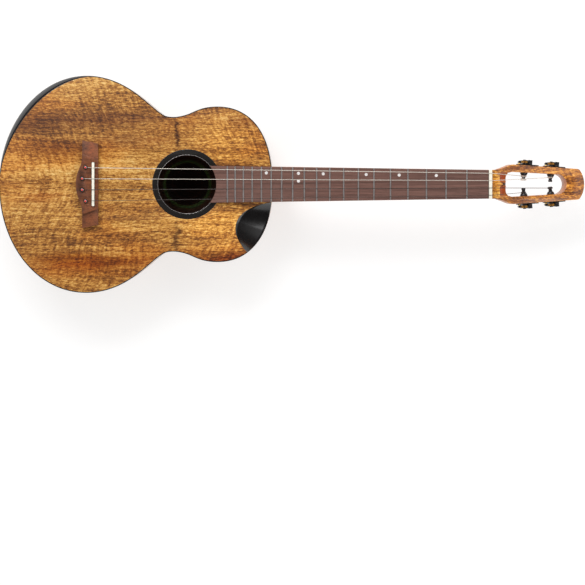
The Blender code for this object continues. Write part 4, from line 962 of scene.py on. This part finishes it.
dots = Tree("dots", {"Radius": board["dotRadius"], "Depth": 0.0004})
disc = dots.make("GeometryNodeMeshCylinder", {}, {"Vertices": 32, "Radius": dots.size("Radius"),
                                                  "Depth": dots.size("Depth")})
placed = dots.make("GeometryNodeInstanceOnPoints", {}, {"Points": dots.start.outputs["Geometry"],
                                                        "Instance": disc.outputs["Mesh"]})
dots.finish(placed.outputs[0], pearlAndGlintWhite)
dotY = {3: (0.0115,), 5: (0.0120,), 7: (0.0128,), 10: (0.0135,), 12: (0.0142, 0.0042), 15: (0.0148,)}
dotPoints = [((fretX(n) + fretX(n - 1)) / 2, y, boardTop - 0.0001) for n, ys in dotY.items() for y in ys]
dress(soften(dots.grow(pointCloud("fretDots", dotPoints)), 40), pearlAndGlintWhite, None)


# Pins and strings

print("strings")
pins = {"headRadius": 0.0029, "shankRadius": 0.0022, "length": 0.020, "steps": 28}
saddleLow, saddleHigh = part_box("saddle")
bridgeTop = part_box("bridge")[1].z
saddleX = (saddleLow.x + saddleHigh.x) / 2
pinPlaces = []
for name in stringNames:
    low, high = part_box("bridge_pin_" + name)
    pinPlaces.append(((low.x + high.x) / 2, (low.y + high.y) / 2))
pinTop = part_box("bridge_pin_d")[1].z

r, h = pins["headRadius"], pinTop - bridgeTop
crownLine = [(0.0, h), (r * 0.30, h - 0.00006), (r * 0.62, h - 0.0003), (r * 0.86, h - 0.0008),
             (r * 0.98, h - 0.0014), (r, h - 0.0018), (r * 0.93, 0.0005), (pins["shankRadius"], 0.0003),
             (pins["shankRadius"] * 0.8, -pins["length"]), (0.0, -pins["length"])]
dotLine = [(0.0, h + 0.00025), (0.0007, h + 0.0002), (0.0012, h + 0.00006), (0.00135, h - 0.0002),
           (0.0, h - 0.0002)]
# a small white dot set off the middle of each pin's crown, at the same spot on every pin: painted highlight,
# a glint
glintLine = [(0.0, h + 0.0002), (0.00035, h + 0.00018), (0.0005, h + 0.0001), (0.0005, h - 0.0002),
             (0.0, h - 0.0002)]
upright = Matrix.Identity(4)
pinPattern = turnedPiece("pinPattern", crownLine, upright, pins["steps"])
dotPattern = turnedPiece("dotPattern", dotLine, upright, 24)
pearlPattern = turnedPiece("pearlPattern", glintLine, upright, 16)


def copies(name, pattern, material, places):
    # the same piece set out at several places
    tree = Tree(name, {"Size": 1.0})
    source = tree.make("GeometryNodeObjectInfo", {}, {"Object": pattern})
    made = tree.make("GeometryNodeInstanceOnPoints", {}, {"Points": tree.start.outputs["Geometry"],
                                                          "Instance": source.outputs["Geometry"],
                                                          "Scale": tree.size("Size")})
    tree.finish(made.outputs[0], material)
    piece = tree.grow(pointCloud(name, places))
    bpy.data.objects.remove(pattern)
    return soften(piece, 40)


pinSpots = [(x, y, bridgeTop) for x, y in pinPlaces]
dress(copies("bridgePins", pinPattern, buttonBlack, pinSpots), buttonBlack, "black_trim", "root",
      *["bridge_pin_" + name for name in stringNames])
dress(copies("bridgePinDots", dotPattern, redDot, pinSpots), redDot, None)
# the white dot on each pin's crown is painted highlight
dress(copies("bridgePinPearls", pearlPattern, pearlAndGlintWhite, [(x + 0.0011, y + 0.0004, z - 0.00015)
                                                           for x, y, z in pinSpots]), pearlAndGlintWhite, None)

strings = {"diameters": (0.00090, 0.00080, 0.00075, 0.00062), "saddleSpread": 0.0428, "nutSpread": 0.0286,
           "windingPitch": 0.00032, "windingDip": 0.86, "wound": 2}


def stringEnd(name):
    # middle of the node's far cap
    places = np.array([v.co for v in nodes["string_" + name].data.vertices])
    far = places[places[:, 0].argmax()]
    near = places[np.linalg.norm(places - far, axis=1) < 0.00105]
    return Vector(near.mean(0))


def tube(name, path, radius, sides, ridged=False):
    # a round string along a path; a wound one has a ridge for each turn of its wire
    path = [Vector(p) for p in path]
    lengths = [0.0]
    for a, b in zip(path, path[1:]):
        lengths.append(lengths[-1] + (b - a).length)
    places = np.arange(0, lengths[-1], strings["windingPitch"] / 2) if ridged else np.array(lengths)
    coords = np.array([tuple(p) for p in path])
    points = np.stack([np.interp(places, lengths, coords[:, i]) for i in range(3)], axis=1)
    tangents = np.gradient(points, axis=0)
    tangents /= np.linalg.norm(tangents, axis=1)[:, None]
    guide = np.array([0.0, 0.0, 1.0])
    rows = []
    for i, (point, tangent) in enumerate(zip(points, tangents)):
        side = np.cross(tangent, guide)
        if np.linalg.norm(side) < 0.05:
            side = np.cross(tangent, (0.0, 1.0, 0.0))
        side /= np.linalg.norm(side)
        up = np.cross(side, tangent)
        wide = radius * (1.0 if not ridged or i % 2 else strings["windingDip"])
        rows.append([point + wide * (math.cos(a) * side + math.sin(a) * up)
                     for a in np.linspace(0, 2 * math.pi, sides + 1)[:-1]])
    return sweptPiece(name, rows, 60)


nutTop = nutHigh.z
for index, name in enumerate(stringNames):
    radius = strings["diameters"][index] / 2
    pinX, pinY = pinPlaces[index]
    saddleY = strings["saddleSpread"] * (0.5 - index / 3)
    nutY = strings["nutSpread"] * (0.5 - index / 3)
    rise = radius + 0.00002
    path = [(pinX + pins["headRadius"] * 0.9, pinY, bridgeTop + radius * 0.6),
            (saddleLow.x - 0.0004, saddleY + (pinY - saddleY) * 0.1, saddleHigh.z - 0.0003 + radius * 0.4),
            (saddleX - 0.0006, saddleY, saddleHigh.z + rise),
            (saddleX + 0.0006, saddleY, saddleHigh.z + rise),
            (nutX + 0.0006, nutY, nutTop + radius * 0.5), (nutHigh.x - 0.0008, nutY, nutTop + radius * 0.4),
            stringEnd(name)]
    wound = index < strings["wound"]
    piece = tube("stringLine_" + name, path, radius, 8 if wound else 12, wound)
    dress(piece, bassWire if wound else trebleLine, "wound_string" if wound else "plain_string", "root",
          "string_" + name)


# Tuners

print("tuners")
tuner = {"screwRadius": 0.0020, "screwAt": -0.0071, "plateTop": 0.0015, "gearOut": 0.0047}


def outwards(name):
    # the tuner's own frame: Z along the post away from the head, X towards the head's tip
    side = 1 if name.startswith("bass") else -1
    postTurn = joints["post_turn_" + name]
    up = Vector(joints["knob_turn_" + name]["axis"]).normalized()
    out = Vector(postTurn["axis"]).normalized() * side
    along = out.cross(up).normalized() * side
    turned = Matrix((along, out.cross(along), out)).transposed().to_4x4()
    turned.translation = Vector(postTurn["pos_m"])
    return turned


for name in tunerNames:
    knobBody, postBody = "knob_" + name, "post_body_" + name
    refined("tunerPlate_" + name, "tuner_plate_" + name, 0.00025, blackNickel, "black_metal")
    refined("tunerBushing_" + name, "bushing_" + name, 0.0002, blackNickel, "black_metal")
    refined("tunerWorm_" + name, "worm_" + name, 0, blackNickel, "black_metal", knobBody, dissolve=False)
    refined("tunerGear_" + name, "gear_" + name, 0, gearBrass, "gear_brass", postBody, dissolve=False)
    refined("tunerPost_" + name, "post_" + name, 0, blackNickel, "black_metal", postBody)
    refined("tunerButton_" + name, "button_" + name, 0.0006, buttonBlack, "button_black", knobBody, 3, 20)

# turns of string round the posts: (string, tuner, places along the post from the string's end)
windings = {"radius": 0.0029, "turns": 2.4, "steps": 22,
            "bands": (("d", "bass_near", (0.0, -0.0042)), ("g", "bass_far", (0.0002,)),
                      ("b", "treble_far", (0.0,)), ("e", "treble_near", (0.0,)))}
for string, name, bands in windings["bands"]:
    axis = Vector(joints["post_turn_" + name]["axis"]).normalized()
    middle = Vector(joints["post_turn_" + name]["pos_m"])
    middle = middle + axis * ((stringEnd(string).y - middle.y) / axis.y)
    upward = (Vector((0, 0, 1)) - axis * axis.z).normalized()
    ahead = axis.cross(upward)
    thick = strings["diameters"][stringNames.index(string)] / 2
    away = windings["radius"] + thick
    wound = stringNames.index(string) < strings["wound"]
    for number, place in enumerate(bands):
        path = []
        for i in range(int(windings["turns"] * windings["steps"]) + 1):
            share = i / windings["steps"]
            angle = math.pi * 2 * share
            path.append(middle + axis * (place + (share - windings["turns"] / 2) * thick * 2.02)
                        + upward * (math.cos(angle) * away) - ahead * (math.sin(angle) * away))
        piece = tube("stringTurns_" + name + "_" + str(number), path, thick, 10)
        dress(piece, bassWire if wound else trebleLine, "wound_string" if wound else "plain_string",
              "post_body_" + name)

screwLine = softProfile([(0.0, 0.0014), (tuner["screwRadius"] * 0.7, 0.0012), (tuner["screwRadius"], 0.0003),
                         (tuner["screwRadius"], -0.0004), (0.0, -0.0004)], 0.0003)
screwPlace = Matrix.Translation((tuner["screwAt"], 0, tuner["plateTop"] - tuner["gearOut"]))
for name in tunerNames:
    dress(turnedPiece("plateScrew_" + name, screwLine, outwards(name) @ screwPlace), gold, None)


# Floor, light and camera

print("studio")
studio = {"floorSize": 6.0, "floorZ": -0.0006, "floor": (0.42, 0.42, 0.42, 1), "floorGlow": 0.65,
          "cameraHeight": 2.4, "frameWidth": 0.7617, "cameraFromTail": 0.38213, "shiftY": -0.185,
          "sky": 1.4, "overhead": 0.06, "horizon": 0.06, "trebleSide": 0.5, "aim": (0, 0, 0.05),
          "key": ((-0.6, 1.5, 1.6), (1.6, 0.8), 26), "fill": ((1.2, -1.2, 1.4), (1.4, 1.0), 9)}
mesh = bpy.data.meshes.new("floor")
half = studio["floorSize"] / 2
corners = ((-half, -half), (half, -half), (half, half), (-half, half))
mesh.from_pydata([(x, y, studio["floorZ"]) for x, y in corners], [], [(0, 1, 2, 3)])
floor = newObject("floor", mesh)
ground = Finish("pale floor")
cloud = ground.speckle(2.0, 2.0, 0.0, 2.0)
ground.wear(baseColor=ground.tint(studio["floor"], cloud, 0.985, 1.0), roughness=0.9, specular=0.1)
ground.shader.inputs["Emission Color"].default_value = (1, 1, 1, 1)
ground.shader.inputs["Emission Strength"].default_value = studio["floorGlow"]
floor.data.materials.append(ground.material)

# the sky is dark overhead, dark near the horizon, and dimmer on the treble side
sky = Finish("studio", bpy.data.worlds.new("studio"))
x, y, z = sky.place(space="Generated")
overhead = 1.0 + (studio["overhead"] - 1.0) * z.between(0.80, 0.92)
lowDown = studio["horizon"] + (1.0 - studio["horizon"]) * z.between(0.30, 0.55)
trebleSide = studio["trebleSide"] + (1.0 - studio["trebleSide"]) * y.between(-0.7, 0.3)
backdrop = sky.tree.nodes["Background"]
feed(sky.tree, backdrop.inputs[0], (1.0, 1.0, 1.0, 1))
feed(sky.tree, backdrop.inputs[1], overhead * lowDown * trebleSide * studio["sky"])
bpy.context.scene.world = sky.material

for name in ("key", "fill"):
    place, size, power = studio[name]
    lamp = bpy.data.lights.new(name, "AREA")
    lamp.shape = "RECTANGLE"
    lamp.size, lamp.size_y = size
    lamp.energy = power
    holder = newObject(name, lamp)
    holder.location = place
    holder.rotation_euler = (Vector(studio["aim"]) - Vector(place)).to_track_quat("-Z", "Y").to_euler()

camera = bpy.data.cameras.new("camera")
camera.sensor_width = 36
camera.lens = 36 * studio["cameraHeight"] / studio["frameWidth"]
camera.shift_y = studio["shiftY"]
camera.clip_start, camera.clip_end = 0.05, 50
holder = newObject("camera", camera)
holder.location = (tailX + studio["cameraFromTail"], 0, topZ + studio["cameraHeight"])
bpy.context.scene.camera = holder
bpy.context.scene.view_settings.view_transform = "Standard"
